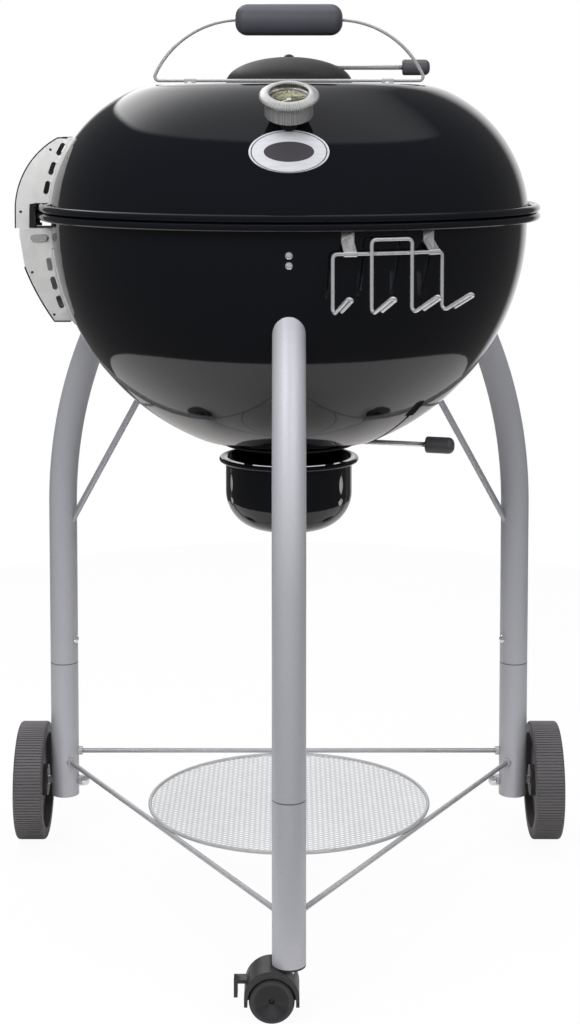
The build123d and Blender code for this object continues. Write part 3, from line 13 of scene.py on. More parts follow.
import bmesh
import bpy
import numpy as np
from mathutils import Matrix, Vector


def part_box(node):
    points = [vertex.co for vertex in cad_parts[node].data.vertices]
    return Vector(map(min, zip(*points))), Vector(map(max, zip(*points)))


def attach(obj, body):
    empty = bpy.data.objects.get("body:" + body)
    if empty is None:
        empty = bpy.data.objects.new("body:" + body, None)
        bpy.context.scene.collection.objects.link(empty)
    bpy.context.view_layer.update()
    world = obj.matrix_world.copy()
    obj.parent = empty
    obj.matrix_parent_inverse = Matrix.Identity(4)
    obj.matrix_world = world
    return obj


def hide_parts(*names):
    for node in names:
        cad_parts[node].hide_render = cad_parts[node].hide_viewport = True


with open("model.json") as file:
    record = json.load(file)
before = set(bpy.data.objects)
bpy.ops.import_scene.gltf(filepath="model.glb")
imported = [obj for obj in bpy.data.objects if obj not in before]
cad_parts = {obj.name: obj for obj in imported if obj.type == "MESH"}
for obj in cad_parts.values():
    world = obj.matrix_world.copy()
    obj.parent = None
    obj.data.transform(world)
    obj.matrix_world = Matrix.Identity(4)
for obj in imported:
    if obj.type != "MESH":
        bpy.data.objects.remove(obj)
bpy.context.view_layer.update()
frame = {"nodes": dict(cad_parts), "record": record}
record = frame["record"]
body_of_node = {node: body for body, nodes in record["behaviour"]["bodies"].items() for node in nodes}
slot_of_node = {part["node"]: part["material_slot"] for part in record["subparts"]}

# %% [markdown]
# ## Shader maths as Python
# A finish is easier to read as a formula than as a web of nodes. `Value` wraps a node's output, and an
# operator on it adds one Math node. `Finish` owns one node tree, of a material or of the world, and its
# `node` method makes any other node.

# %% a socket that knows arithmetic
class Value:
    """A node's output that takes part in sums: an operator adds a Math node and returns its output."""

    def __init__(self, finish, socket):
        self.finish = finish
        self.socket = socket

    def math(self, operation, *operands):
        return self.finish.node("ShaderNodeMath", {"operation": operation}, dict(enumerate(operands)))

    def __add__(self, other):
        return self.math("ADD", self, other)

    def __sub__(self, other):
        return self.math("SUBTRACT", self, other)

    def __rsub__(self, other):
        return self.math("SUBTRACT", other, self)

    def __mul__(self, other):
        return self.math("MULTIPLY", self, other)

    def __truediv__(self, other):
        return self.math("DIVIDE", self, other)

    def __pow__(self, other):
        return self.math("POWER", self, other)

    def __gt__(self, other):
        return self.math("GREATER_THAN", self, other)

    def __lt__(self, other):
        return self.math("LESS_THAN", self, other)

    def __abs__(self):
        return self.math("ABSOLUTE", self)

    __radd__ = __add__
    __rmul__ = __mul__


# %% a node tree that is written as a formula
class Finish:
    """One node tree: its node maker, its coordinates and the sockets of its main shader."""

    def __init__(self, owner, shader="Principled BSDF", place="Object"):
        owner.use_nodes = True
        self.owner = owner
        self.tree = owner.node_tree
        self.shader = self.tree.nodes[shader]
        self.place = self.node("ShaderNodeTexCoord", output=place)

    def feed(self, socket, value):
        if isinstance(value, Value):
            self.tree.links.new(value.socket, socket)
        else:
            socket.default_value = value

    def node(self, kind, settings=(), inputs=(), output=0):
        made = self.tree.nodes.new(kind)
        for name, value in dict(settings).items():
            setattr(made, name, value)
        for name, value in dict(inputs).items():
            self.feed(made.inputs[name], value)
        return Value(self, made.outputs[output])

    def dress(self, **sockets):
        for name, value in sockets.items():
            self.feed(self.shader.inputs[name.replace("_", " ")], value)

    def noise(self, scale, detail=3.0, stretch=(1, 1, 1)):
        place = self.node("ShaderNodeMapping", {"vector_type": "TEXTURE"},
                          {"Vector": self.place, "Scale": stretch})
        return self.node("ShaderNodeTexNoise", (), {"Vector": place, "Scale": scale, "Detail": detail})

    def along(self, axis):
        inputs = {0: self.place, 1: axis}
        return self.node("ShaderNodeVectorMath", {"operation": "DOT_PRODUCT"}, inputs, "Value")

    def ramp(self, value, low, high, start=0.0, end=1.0):
        inputs = {"Value": value, "From Min": low, "From Max": high, "To Min": start, "To Max": end}
        return self.node("ShaderNodeMapRange", {"interpolation_type": "SMOOTHSTEP"}, inputs)

    def mix(self, factor, first, second):
        return self.node("ShaderNodeMix", {"data_type": "RGBA"}, {0: factor, 6: first, 7: second}, 2)

    def bump(self, height, strength, distance):
        inputs = {"Height": height, "Strength": strength, "Distance": distance}
        return self.node("ShaderNodeBump", (), inputs)


def paint(name, **constants):
    """New material whose constant sockets are set at once."""
    finish = Finish(bpy.data.materials.new(name))
    finish.dress(**constants)
    return finish


def colour(red, green, blue):
    """Screen colour in 0 to 255 as the linear colour that a shader takes."""
    part = np.array([red, green, blue]) / 255
    linear = np.where(part <= 0.04045, part / 12.92, ((part + 0.055) / 1.055) ** 2.4)
    return (*linear.tolist(), 1.0)


print("mid grey as a linear colour:", [round(part, 3) for part in colour(128, 128, 128)])

# %% [markdown]
# ## Camera, floor and light
# Black enamel is seen almost only by what it mirrors, so the room matters as much as the paint. The
# room is written as a formula of the direction: a soft white panel overhead that starts a little in
# front of the grill and is brighter on its left, a white backdrop behind, and a dim front, where the
# camera stands. The floor is an oval white sheet under the grill, and the bowl mirrors its front edge.
# Camera rays see plain white. Broad lamps light the matt surfaces from the front and from above. They
# are hidden from mirror rays, so that the lid shows the panel alone.

# %% camera
CAMERA_PLACE = (0.0, -2.3023, 0.94446)
CAMERA_PITCH = 4.0522
CAMERA_LENS = 67.45
CAMERA_SHIFT = (0.001, -0.252)
SENSOR_WIDTH = 36.0

scene = bpy.context.scene
scene.view_settings.view_transform = "Standard"
camera = bpy.data.objects.new("camera", bpy.data.cameras.new("camera"))
camera.location = CAMERA_PLACE
camera.rotation_euler = (radians(90 - CAMERA_PITCH), 0, 0)
camera.data.sensor_width = SENSOR_WIDTH
camera.data.lens = CAMERA_LENS
camera.data.shift_x, camera.data.shift_y = CAMERA_SHIFT
scene.collection.objects.link(camera)
scene.camera = camera
print("camera at", CAMERA_PLACE)

# %% the room
WHITE = (1.0, 1.0, 1.0, 1.0)
FRONT_LEVEL = 0.12
PANEL_LEVEL = 0.65
PANEL_MIDDLE = (0.05, 0.8)
PANEL_DEPTH = 1.23
PANEL_EDGE = (0.95, 1.05)
PANEL_SLOPE = 1.55
PANEL_SLOPE_DEPTH = 1.3
LOWEST_RISE = 0.05
BACKDROP_TURN = radians(8)
BACKDROP_EDGE = (0.87, 0.98)


def studio():
    """World whose brightness depends on the direction (x to the right, y to the back, z up).

    A ceiling at height 1 is met at x / z and y / z. The panel there is half an ellipse in front of its
    middle and runs straight back behind it. Its brightness grows towards the back on the left.
    """
    room = Finish(bpy.data.worlds.new("studio"), "Background", "Generated")
    x = room.along((1.0, 0.0, 0.0))
    y = room.along((0.0, 1.0, 0.0))
    z = room.along((0.0, 0.0, 1.0))
    height = z.math("MAXIMUM", z, LOWEST_RISE)
    across = x / height - PANEL_MIDDLE[0]
    depth = y / height
    front = depth.math("MINIMUM", depth - PANEL_MIDDLE[1], 0.0) / PANEL_DEPTH
    from_middle = (across * across + front * front) ** 0.5
    inside = room.ramp(from_middle, *PANEL_EDGE, 1.0, 0.0) * (z > LOWEST_RISE)
    panel = inside * (PANEL_LEVEL - across * room.ramp(depth, 0.0, PANEL_SLOPE_DEPTH, 0.0, PANEL_SLOPE))
    backdrop = room.ramp(y * cos(BACKDROP_TURN) + x * sin(BACKDROP_TURN), *BACKDROP_EDGE)
    seen = room.node("ShaderNodeLightPath", output="Is Camera Ray")
    behind = x.math("MAXIMUM", panel, backdrop)
    room.dress(Color=WHITE, Strength=x.math("MAXIMUM", behind, x.math("MAXIMUM", seen, FRONT_LEVEL)))
    return room.owner


scene.world = studio()
print("room:", scene.world.name)

# %% floor
FLOOR_HALF = (1.0, 1.22)
FLOOR_MIDDLE_Y = 0.71
FLOOR_GLOW = 0.95


def white_floor():
    """Matt white paint that a camera ray sees almost at full white, with a twentieth of the shadow left."""
    finish = paint("floor_paint", Base_Color=colour(205, 203, 202), Roughness=0.9)
    glow = finish.node("ShaderNodeEmission", (), {"Color": WHITE}, "Emission")
    seen = finish.node("ShaderNodeLightPath", output="Is Camera Ray")
    bare = Value(finish, finish.shader.outputs["BSDF"])
    blended = finish.node("ShaderNodeMixShader", (), {0: seen * FLOOR_GLOW, 1: bare, 2: glow})
    finish.feed(finish.tree.nodes["Material Output"].inputs["Surface"], blended)
    return finish.owner


rim_turn = np.linspace(0, 2 * pi, 96, endpoint=False)
rim_x = FLOOR_HALF[0] * np.cos(rim_turn)
rim_y = FLOOR_MIDDLE_Y + FLOOR_HALF[1] * np.sin(rim_turn)
rim = np.column_stack([rim_x, rim_y, 0 * rim_turn])
floor_mesh = bpy.data.meshes.new("floor")
floor_mesh.from_pydata(rim, [], [list(range(len(rim)))])
floor_mesh.materials.append(white_floor())
floor = bpy.data.objects.new("floor", floor_mesh)
scene.collection.objects.link(floor)
print("floor:", 2 * FLOOR_HALF[0], "m wide")

# %% lamps
def lamp(name, place, aim, size, power):
    """Rectangular soft lamp at a place, turned to a point, that mirror rays don't see."""
    light = bpy.data.lights.new(name, "AREA")
    light.shape = "RECTANGLE"
    light.size, light.size_y = size
    light.energy = power
    holder = bpy.data.objects.new(name, light)
    way = np.array(aim) - np.array(place)
    flat = hypot(way[0], way[1])
    holder.location = place
    holder.rotation_euler = (atan2(flat, -way[2]), 0, atan2(way[1], way[0]) - pi / 2)
    holder.visible_glossy = False
    scene.collection.objects.link(holder)
    return holder


KETTLE_MIDDLE = (0.0, 0.0, 0.7)
lamps = [
    lamp("key", (-0.8, -1.4, 1.7), KETTLE_MIDDLE, (1.2, 1.2), 42),
    lamp("fill", (1.0, -1.6, 1.5), KETTLE_MIDDLE, (1.2, 1.2), 28),
    lamp("top", (0.0, 0.4, 3.0), KETTLE_MIDDLE, (2.4, 2.4), 95),
]
print("lamps:", [holder.name for holder in lamps])

# %% [markdown]
# ## Finishes
# The kettle and the ash pot are black glass enamel: almost a mirror, with a faint orange-peel wave from
# the spray. The legs are silver paint with fine flake. Wires, rods and screws are plated, the hinge is
# pale galvanised sheet, and the grip, the knobs and the wheels are moulded plastic with a fine grain.

# %% enamel and paints
LEG_JOINT_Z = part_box("front_leg_lower")[1].z
SEAM_HALF = 0.0007
print("leg joints at height", round(LEG_JOINT_Z, 4))


def enamel():
    finish = paint("black_enamel", IOR=1.5)
    cloud = finish.noise(3.0)
    peel = finish.noise(140.0, 1.0)
    finish.dress(Base_Color=finish.mix(cloud, colour(6, 7, 11), colour(11, 12, 17)),
                 Roughness=0.04 + 0.04 * finish.noise(12.0), Normal=finish.bump(peel, 0.02, 0.0006))
    return finish.owner


def dark_paint():
    finish = paint("satin_black_paint")
    speck = finish.noise(400.0, 2.0)
    finish.dress(Base_Color=finish.mix(speck, colour(26, 25, 26), colour(38, 37, 38)),
                 Roughness=0.42 + 0.16 * finish.noise(60.0), Normal=finish.bump(speck, 0.12, 0.0004))
    return finish.owner


def silver_paint():
    finish = paint("silver_paint", Metallic=0.3)
    flake = finish.noise(1400.0, 2.0)
    cloud = finish.noise(9.0)
    seam = abs(finish.along((0.0, 0.0, 1.0)) - LEG_JOINT_Z) < SEAM_HALF
    shade = finish.mix(flake, colour(154, 155, 161), colour(192, 193, 199))
    finish.dress(Base_Color=finish.mix(seam, shade, colour(104, 105, 110)),
                 Roughness=0.36 + 0.12 * cloud, Normal=finish.bump(flake, 0.08, 0.0003))
    return finish.owner


# %% metals
def plated(name, dark, light, rough, metal=0.8):
    finish = paint(name, Metallic=metal)
    smear = finish.noise(70.0)
    finish.dress(Base_Color=finish.mix(smear, dark, light), Roughness=rough + 0.14 * smear)
    return finish.owner


def galvanised():
    finish = paint("galvanised_sheet", Metallic=0.2)
    spangle = finish.noise(55.0, 4.0)
    grain = finish.noise(300.0, 2.0, (1, 1, 16))
    finish.dress(Base_Color=finish.mix(spangle, colour(178, 178, 178), colour(204, 204, 203)),
                 Roughness=0.42 + 0.16 * grain, Normal=finish.bump(grain, 0.06, 0.0004))
    return finish.owner


PLATE_FIELD = (0.0268, 0.0107)
PLATE_LINE = (0.92, 0.95)


def plate_face():
    """Brushed oval plate: a dark oval field, (x / a)^2 + (z / b)^2 < 1, and a thin line round the rim."""
    finish = paint("brushed_plate", Metallic=0.35)
    low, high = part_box("oval_plate")
    middle = (low + high) / 2
    x = finish.along((1.0, 0.0, 0.0)) - middle.x
    z = finish.along((0.0, 0.0, 1.0)) - middle.z
    grain = finish.noise(600.0, 3.0, (20, 1, 1))
    field = ((x / PLATE_FIELD[0]) ** 2.0 + (z / PLATE_FIELD[1]) ** 2.0) < 1.0
    reach = ((x / (high.x - middle.x)) ** 2.0 + (z / (high.z - middle.z)) ** 2.0) ** 0.5
    line = (reach > PLATE_LINE[0]) * (reach < PLATE_LINE[1])
    face = finish.mix(grain, colour(168, 169, 174), colour(196, 197, 202))
    face = finish.mix(x.math("MAXIMUM", field, line), face, colour(62, 60, 64))
    finish.dress(Base_Color=face, Roughness=0.26 + 0.2 * grain, Normal=finish.bump(grain, 0.08, 0.0003))
    return finish.owner


# %% plastics, rubber and glass
def plastic(name, dark, light, rough):
    finish = paint(name)
    grain = finish.noise(1600.0, 1.0)
    cloud = finish.noise(14.0)
    finish.dress(Base_Color=finish.mix(cloud, dark, light), Roughness=rough + 0.12 * cloud,
                 Normal=finish.bump(grain, 0.14, 0.0003))
    return finish.owner


LIT_TREAD_START = 0.0690
LIT_TREAD_FULL = 0.0725


def tyre():
    """Wheel plastic: dark on the sides, paler on the tread as painted light, told apart by the distance to
    the axle.
    """
    finish = paint("wheel_plastic")
    low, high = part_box("left_wheel")
    y = finish.along((0.0, 1.0, 0.0)) - (low.y + high.y) / 2
    z = finish.along((0.0, 0.0, 1.0)) - (low.z + high.z) / 2
    # Painted light: the tread gets a paler colour than the sides, as if it were lit more strongly.
    tread = finish.ramp((y * y + z * z) ** 0.5, LIT_TREAD_START, LIT_TREAD_FULL)
    cloud = finish.noise(14.0)
    shade = finish.mix(cloud, colour(76, 74, 76), colour(90, 88, 90))
    finish.dress(Base_Color=finish.mix(tread, colour(50, 49, 50), shade), Roughness=0.46 + 0.12 * cloud,
                 Normal=finish.bump(finish.noise(1600.0, 1.0), 0.14, 0.0003))
    return finish.owner


def clear_glass():
    finish = paint("clear_glass", IOR=1.45, Transmission_Weight=1.0, Alpha=0.25)
    finish.dress(Base_Color=(0.95, 0.97, 0.96, 1.0), Roughness=0.01 + 0.03 * finish.noise(90.0))
    return finish.owner


# %% [markdown]
# ## The dial
# The dial is printed, so its marks are drawn by its shader, in polar coordinates about the tilted axis:
# a ring of short ticks, a longer tick at each fifth one, and a yellow-green band for the cooking range.
# The steel round it was turned on a lathe, and its scratches follow the same angle.

# %% dial finish
DIAL_TILT = radians(61.0)
DIAL_UP = (0.0, sin(DIAL_TILT), cos(DIAL_TILT))
TICKS_PER_TURN = 100
TICKS_PER_GROUP = 5
TICK_END = 0.0203
MINOR_START = 0.0178
MAJOR_START = 0.0155
TICK_SWEEP = radians(140)
BAND_RADII = (0.0105, 0.0142)
BAND_SWEEP = 1.3
dial_centre = np.mean(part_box("thermometer_dial"), axis=0)


def dial_polar(finish):
    """Radius r = sqrt(x^2 + y^2) and angle a = atan2(x, y) from the dial's top, about its axis."""
    x = finish.along((1.0, 0.0, 0.0)) - float(dial_centre[0])
    y = finish.along(DIAL_UP) - float(np.dot(dial_centre, DIAL_UP))
    return (x * x + y * y) ** 0.5, x.math("ARCTAN2", x, y)


def lathe_metal(name, dark, light, fineness):
    """Turned steel with fine scratches that run along the axis, so they depend on the angle alone."""
    finish = paint(name, Metallic=0.8)
    around = dial_polar(finish)[1]
    place = finish.node("ShaderNodeCombineXYZ", (), {0: around})
    scratch = finish.node("ShaderNodeTexNoise", (), {"Vector": place, "Scale": fineness, "Detail": 3.0})
    scratch = finish.ramp(scratch, 0.3, 0.7)
    finish.dress(Base_Color=finish.mix(scratch, dark, light), Roughness=0.22 + 0.16 * scratch)
    return finish.owner


def tick_marks(angle, per_turn, half):
    """1 near evenly spaced angles: |fract(n a / 2 pi + 1/2) - 1/2| < h. Whole steps keep it positive."""
    step = angle * (per_turn / (2 * pi)) + (per_turn + 0.5)
    return abs(angle.math("FRACT", step) - 0.5) < half


def dial_face():
    """A ring of ticks and a coloured band, in the dial's polar coordinates."""
    finish = paint("dial_face", Roughness=0.5)
    radius, angle = dial_polar(finish)
    minor = tick_marks(angle, TICKS_PER_TURN, 0.16) * (radius > MINOR_START)
    major = tick_marks(angle, TICKS_PER_TURN / TICKS_PER_GROUP, 0.05) * (radius > MAJOR_START)
    ticks = radius.math("MAXIMUM", minor, major) * (radius < TICK_END) * (abs(angle) < TICK_SWEEP)
    band = (radius > BAND_RADII[0]) * (radius < BAND_RADII[1]) * (abs(angle) < BAND_SWEEP)
    face = finish.mix(finish.noise(300.0), colour(30, 32, 26), colour(46, 47, 36))
    face = finish.mix(band, face, colour(128, 124, 52))
    finish.dress(Base_Color=finish.mix(ticks, face, colour(186, 186, 164)))
    return finish.owner


print("dial centre:", dial_centre.round(4))

# %% all finishes, by the record's material slots
finishes = {
    "enamel": enamel(),
    "dark_metal": dark_paint(),
    "hinge_sheet": galvanised(),
    "chrome": plated("plated_steel", colour(226, 226, 229), colour(244, 244, 246), 0.08, 0.79),
    "plate": plate_face(),
    "plastic": plastic("black_plastic", colour(32, 31, 33), colour(42, 41, 43), 0.34),
    "dial": dial_face(),
    "needle": plastic("needle_paint", colour(214, 208, 176), colour(226, 220, 190), 0.4),
    "glass": clear_glass(),
    "grommet": plastic("black_rubber", colour(26, 26, 26), colour(34, 34, 34), 0.6),
    "grate": plated("plated_grate", colour(164, 164, 164), colour(192, 192, 192), 0.24),
    "tube": silver_paint(),
    "shelf": plated("plated_shelf", colour(160, 161, 164), colour(184, 185, 188), 0.28, 0.3),
}
finish_of_node = {
    "thermometer_case": lathe_metal("ribbed_case", colour(140, 140, 142), colour(248, 248, 248), 30.0),
    "thermometer_bezel": lathe_metal("knurled_bezel", colour(158, 158, 158), colour(236, 236, 236), 50.0),
    "handle_grip": plastic("grip_plastic", colour(56, 57, 62), colour(66, 67, 73), 0.24),
    "left_wheel": tyre(),
    "top_vent_pivot": finishes["dark_metal"],
    "caster_axle": finishes["plastic"],
    "shelf_mesh": plated("plated_net", colour(196, 197, 200), colour(216, 217, 220), 0.28, 0.3),
    "top_vent_knob": plastic("knob_plastic", colour(58, 58, 62), colour(70, 70, 74), 0.3),
}
finish_of_node["damper_knob"] = finish_of_node["top_vent_knob"]
finish_of_node["right_wheel"] = finish_of_node["left_wheel"]
print("finishes:", len(finishes) + len(finish_of_node))

# %% [markdown]
# ## Making pieces
# A piece that is drawn again is a grid of points with four-cornered faces. One that keeps its solid's
# shape is a copy: the solid's triangles are merged, and shading is smooth except at sharp corners.

# %% piece makers
MERGE_DISTANCE = 1e-6
CREASE = 32.0
WIRE_CREASE = 50.0


def add_piece(name, mesh, node):
    """Puts a mesh into the scene in the place of a CAD node, on its body and with its finish."""
    piece = bpy.data.objects.new(name, mesh)
    scene.collection.objects.link(piece)
    mesh.materials.clear()
    mesh.materials.append(finish_of_node.get(node, finishes[slot_of_node[node]]))
    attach(piece, body_of_node[node])
    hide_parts(node)
    return piece


def smooth(mesh, angle=CREASE):
    """Joins points that share a place and shades smoothly, with creases only at sharp corners."""
    work = bmesh.new()
    work.from_mesh(mesh)
    bmesh.ops.remove_doubles(work, verts=work.verts, dist=MERGE_DISTANCE)
    work.to_mesh(mesh)
    work.free()
    mesh.polygons.foreach_set("use_smooth", np.ones(len(mesh.polygons), dtype=bool))
    mesh.set_sharp_from_angle(angle=radians(angle))
    mesh.update()
    return mesh


def dressed(node):
    """Smooth copy of a CAD node, which stands for the node."""
    return add_piece(node + "_dressed", smooth(frame["nodes"][node].data.copy()), node)


# %% [markdown]
# ## Kettle shells
# Bowl and lid are pressed from sheet, so each is a section turned about the upright axis. The bowl is
# part of a ball with a flat floor. The lid is two arcs, a wide one at the side and a tighter shoulder,
# under a flat top. The section runs along the outside, round the rolled bead of the flange and back
# along the inside, so the sheet has its real thickness. Air holes lie in the flat parts, where a Boolean
# cut leaves the smooth shading alone.

# %% turned surfaces
def arc(centre, radius, start, end, count):
    """Points on a circle from one angle to another, in degrees."""
    turn = np.radians(np.linspace(start, end, count))
    return np.column_stack([centre[0] + radius * np.cos(turn), centre[1] + radius * np.sin(turn)])


def skin(points):
    """Four-cornered faces of a grid of points whose rows are closed rings."""
    rows, around = points.shape[:2]
    row = np.arange(rows - 1)[:, None]
    column = np.arange(around)[None, :]
    after = (column + 1) % around
    quads = np.stack([row * around + column, row * around + after,
                      (row + 1) * around + after, (row + 1) * around + column], axis=-1)
    return quads.reshape(-1, 4).tolist()


def capped(points):
    """Points and faces of a grid of rings, closed by a flat face at the first and at the last ring."""
    rows, around = points.shape[:2]
    first = list(range(around))[::-1]
    last = list(range((rows - 1) * around, rows * around))
    return points.reshape(-1, 3), skin(points) + [first, last]


def turned(name, section, around=224):
    """Section of radius r and height h, turned about Z: x = r cos(a), y = r sin(a), z = h."""
    turn = np.linspace(0, 2 * pi, around, endpoint=False)[None, :]
    radius, height = section[:, :1], section[:, 1:]
    points = np.stack([radius * np.cos(turn), radius * np.sin(turn), height + 0 * turn], axis=-1)
    mesh = bpy.data.meshes.new(name)
    mesh.from_pydata(points.reshape(-1, 3), [], skin(points))
    return smooth(mesh)


def punched(mesh, spots, radius, height):
    """Mesh with upright round holes at some spots, cut by a Boolean modifier whose result is kept."""
    turn = np.linspace(0, 2 * pi, 48, endpoint=False)
    ring = np.column_stack([radius * np.cos(turn), radius * np.sin(turn), 0 * turn])
    cutter_mesh = bpy.data.meshes.new("cutter")
    work = bmesh.new()
    for spot in spots:
        low, high = ([work.verts.new(point) for point in ring + np.array(spot) + (0, 0, reach)]
                     for reach in (-height, height))
        work.faces.new(low[::-1])
        work.faces.new(high)
        for one, two, three, four in zip(low, low[1:] + low[:1], high[1:] + high[:1], high):
            work.faces.new((one, two, three, four))
    work.to_mesh(cutter_mesh)
    work.free()
    cutter = bpy.data.objects.new("cutter", cutter_mesh)
    blank = bpy.data.objects.new("blank", mesh)
    scene.collection.objects.link(cutter)
    scene.collection.objects.link(blank)
    cut = blank.modifiers.new("holes", "BOOLEAN")
    cut.operation = "DIFFERENCE"
    cut.object = cutter
    graph = bpy.context.evaluated_depsgraph_get()
    holed = bpy.data.meshes.new_from_object(blank.evaluated_get(graph))
    bpy.data.objects.remove(cutter)
    bpy.data.objects.remove(blank)
    return smooth(holed)


def around_spot(centre, circle, count):
    """Evenly spaced spots on a level circle."""
    turn = np.arange(count) * 2 * pi / count
    return np.array(centre) + circle * np.column_stack([np.cos(turn), np.sin(turn), 0 * turn])


# %% sizes that both shells share
BALL_RADIUS = 0.284
SHEET = 0.0012
BEAD_RADIUS = 0.0046
FILLET = 0.0025
RIM_RISE = 0.010
HOLE_REACH = 0.006
bowl_floor_z, rim_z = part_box("bowl")[0].z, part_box("bowl")[1].z
lid_z, lid_top_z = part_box("lid")[0].z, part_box("lid")[1].z
flange_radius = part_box("bowl")[1].x
bead_r = flange_radius - BEAD_RADIUS
bead_meet = degrees(asin((BEAD_RADIUS - SHEET) / BEAD_RADIUS))
print("rim height:", round(rim_z, 4), "flange radius:", round(flange_radius, 4))

# %% bowl
AIR_HOLE = 0.036
AIR_CIRCLE = 0.038


def bowl_section():
    """Up the outside, round the bead and down the inside: r^2 + (z - c)^2 = R^2 for both skins."""
    centre = rim_z - RIM_RISE
    inner = BALL_RADIUS - SHEET
    floor_turn = -degrees(asin((centre - bowl_floor_z) / BALL_RADIUS))
    inner_turn = -degrees(asin((centre - bowl_floor_z - SHEET) / inner))
    neck = degrees(asin((RIM_RISE - SHEET - FILLET) / BALL_RADIUS))
    neck_r = BALL_RADIUS * cos(radians(neck))
    return np.vstack([
        [(0, bowl_floor_z)],
        arc((0, centre), BALL_RADIUS, floor_turn, neck, 72),
        arc((neck_r + FILLET, rim_z - SHEET - FILLET), FILLET, 180, 90, 7),
        arc((bead_r, rim_z - BEAD_RADIUS), BEAD_RADIUS, 180 - bead_meet, 450, 36),
        arc((0, centre), inner, degrees(asin(RIM_RISE / inner)), inner_turn, 72),
        [(0, bowl_floor_z + SHEET)],
    ])


AIR_SPOTS = around_spot((0, 0, bowl_floor_z), AIR_CIRCLE, 3)
bowl_mesh = punched(turned("bowl_shell", bowl_section()), AIR_SPOTS, AIR_HOLE / 2, HOLE_REACH)
bowl = add_piece("bowl_shell", bowl_mesh, "bowl")
print("bowl faces:", len(bowl.data.polygons))

# %% lid
SIDE_RADIUS = 0.165
SIDE_DROP = 0.008
SHOULDER_RADIUS = 0.095
LID_OVERHANG = 0.0017
VENT_HOLE = 0.030
VENT_CIRCLE = 0.042


def lid_section():
    """Over the top, round the shoulder arc and the side arc, round the bead and back inside."""
    side = (BALL_RADIUS + LID_OVERHANG - SIDE_RADIUS, rim_z - SIDE_DROP)
    lift = lid_top_z - SHOULDER_RADIUS - side[1]
    step = SIDE_RADIUS - SHOULDER_RADIUS
    shoulder = (side[0] + sqrt(step**2 - lift**2), lid_top_z - SHOULDER_RADIUS)
    join = degrees(asin(lift / step))
    neck = degrees(asin((lid_z + SHEET + FILLET - side[1]) / SIDE_RADIUS))
    neck_r = side[0] + SIDE_RADIUS * cos(radians(neck))
    foot = degrees(asin((lid_z - side[1]) / (SIDE_RADIUS - SHEET)))
    return np.vstack([
        [(0, lid_top_z)],
        arc(shoulder, SHOULDER_RADIUS, 90, join, 28),
        arc(side, SIDE_RADIUS, join, neck, 56)[1:],
        arc((neck_r + FILLET, lid_z + SHEET + FILLET), FILLET, 180, 270, 7),
        arc((bead_r, lid_z + BEAD_RADIUS), BEAD_RADIUS, 180 + bead_meet, -90, 36),
        arc(side, SIDE_RADIUS - SHEET, foot, join, 56),
        arc(shoulder, SHOULDER_RADIUS - SHEET, join, 90, 28)[1:],
        [(0, lid_top_z - SHEET)],
    ])[::-1]


vent_centre = np.mean(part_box("top_vent_shutter"), axis=0)
VENT_SPOTS = around_spot((vent_centre[0], vent_centre[1], lid_top_z), VENT_CIRCLE, 3)
lid_mesh = punched(turned("lid_shell", lid_section()), VENT_SPOTS, VENT_HOLE / 2, HOLE_REACH)
lid = add_piece("lid_shell", lid_mesh, "lid")
print("lid faces:", len(lid.data.polygons))

# %% [markdown]
# ## The shelf's net
# The shelf is expanded metal: a slit sheet that was pulled open, so flat strands cross in long narrow
# diamonds and lean over. Two families of straight slanted bars, cut to the disc, give that look with
# six faces for each strand, where a picture of a net would have no depth.

# %% expanded net
NET_LONG = 0.0124
NET_SHORT = 0.0060
STRAND_WIDTH = 0.0009
STRAND_THICKNESS = 0.0006
STRAND_LEAN = radians(35)
NET_EDGE_GAP = 0.0005


def expanded_net(name, centre, radius):
    """Bars at a distance d from the centre, each as long as its chord: half = sqrt(R^2 - d^2)."""
    slope = atan2(NET_SHORT, NET_LONG)
    spacing = NET_LONG * sin(slope)
    count = int(radius / spacing)
    distance = spacing * (np.arange(-count, count) + 0.5)
    half = np.sqrt(radius**2 - distance**2)
    across = STRAND_WIDTH / 2 * np.array([-1, 1, 1, -1])
    through = STRAND_THICKNESS / 2 * np.array([-1, -1, 1, 1])
    points = []
    for turn, lean in ((slope, STRAND_LEAN), (-slope, -STRAND_LEAN)):
        run = np.array([cos(turn), sin(turn), 0])
        beside = np.array([-sin(turn), cos(turn), 0])
        flat = across * cos(lean) - through * sin(lean)
        rise = across * sin(lean) + through * cos(lean)
        ends = half[:, None, None, None] * np.array([-1, 1])[None, :, None, None] * run
        corner = flat[:, None] * beside + rise[:, None] * np.array([0, 0, 1])
        points.append(distance[:, None, None, None] * beside + ends + corner)
    points = np.concatenate(points).reshape(-1, 3) + np.array(centre)
    bar = np.array([(0, 3, 2, 1), (4, 5, 6, 7), (0, 1, 5, 4), (1, 2, 6, 5), (2, 3, 7, 6), (3, 0, 4, 7)])
    faces = (8 * np.arange(len(points) // 8)[:, None, None] + bar).reshape(-1, 4)
    mesh = bpy.data.meshes.new(name)
    mesh.from_pydata(points, [], faces)
    return mesh


net_low, net_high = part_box("shelf_mesh")
net_radius = (net_high.x - net_low.x) / 2 - NET_EDGE_GAP
net_mesh = expanded_net("shelf_net", (net_low + net_high) / 2, net_radius)
net = add_piece("shelf_net", net_mesh, "shelf_mesh")
print("net strands:", len(net.data.polygons) // 6)

# %% [markdown]
# ## Bent wires
# A wire is a circle that is carried along a path. Its start frame is turned as little as possible from
# point to point, so the skin has no twist and a mirror-like wire shows clean long highlights.

# %% wire makers
# A direction that no wire starts in
OFF_AXIS = (0.31, 0.52, 0.79)


def unit(vector):
    return np.array(vector) / np.linalg.norm(vector)


def level(radius, azimuth, z):
    """Point at a radius and an azimuth in degrees, at a height."""
    return np.array([radius * cos(radians(azimuth)), radius * sin(radians(azimuth)), z])


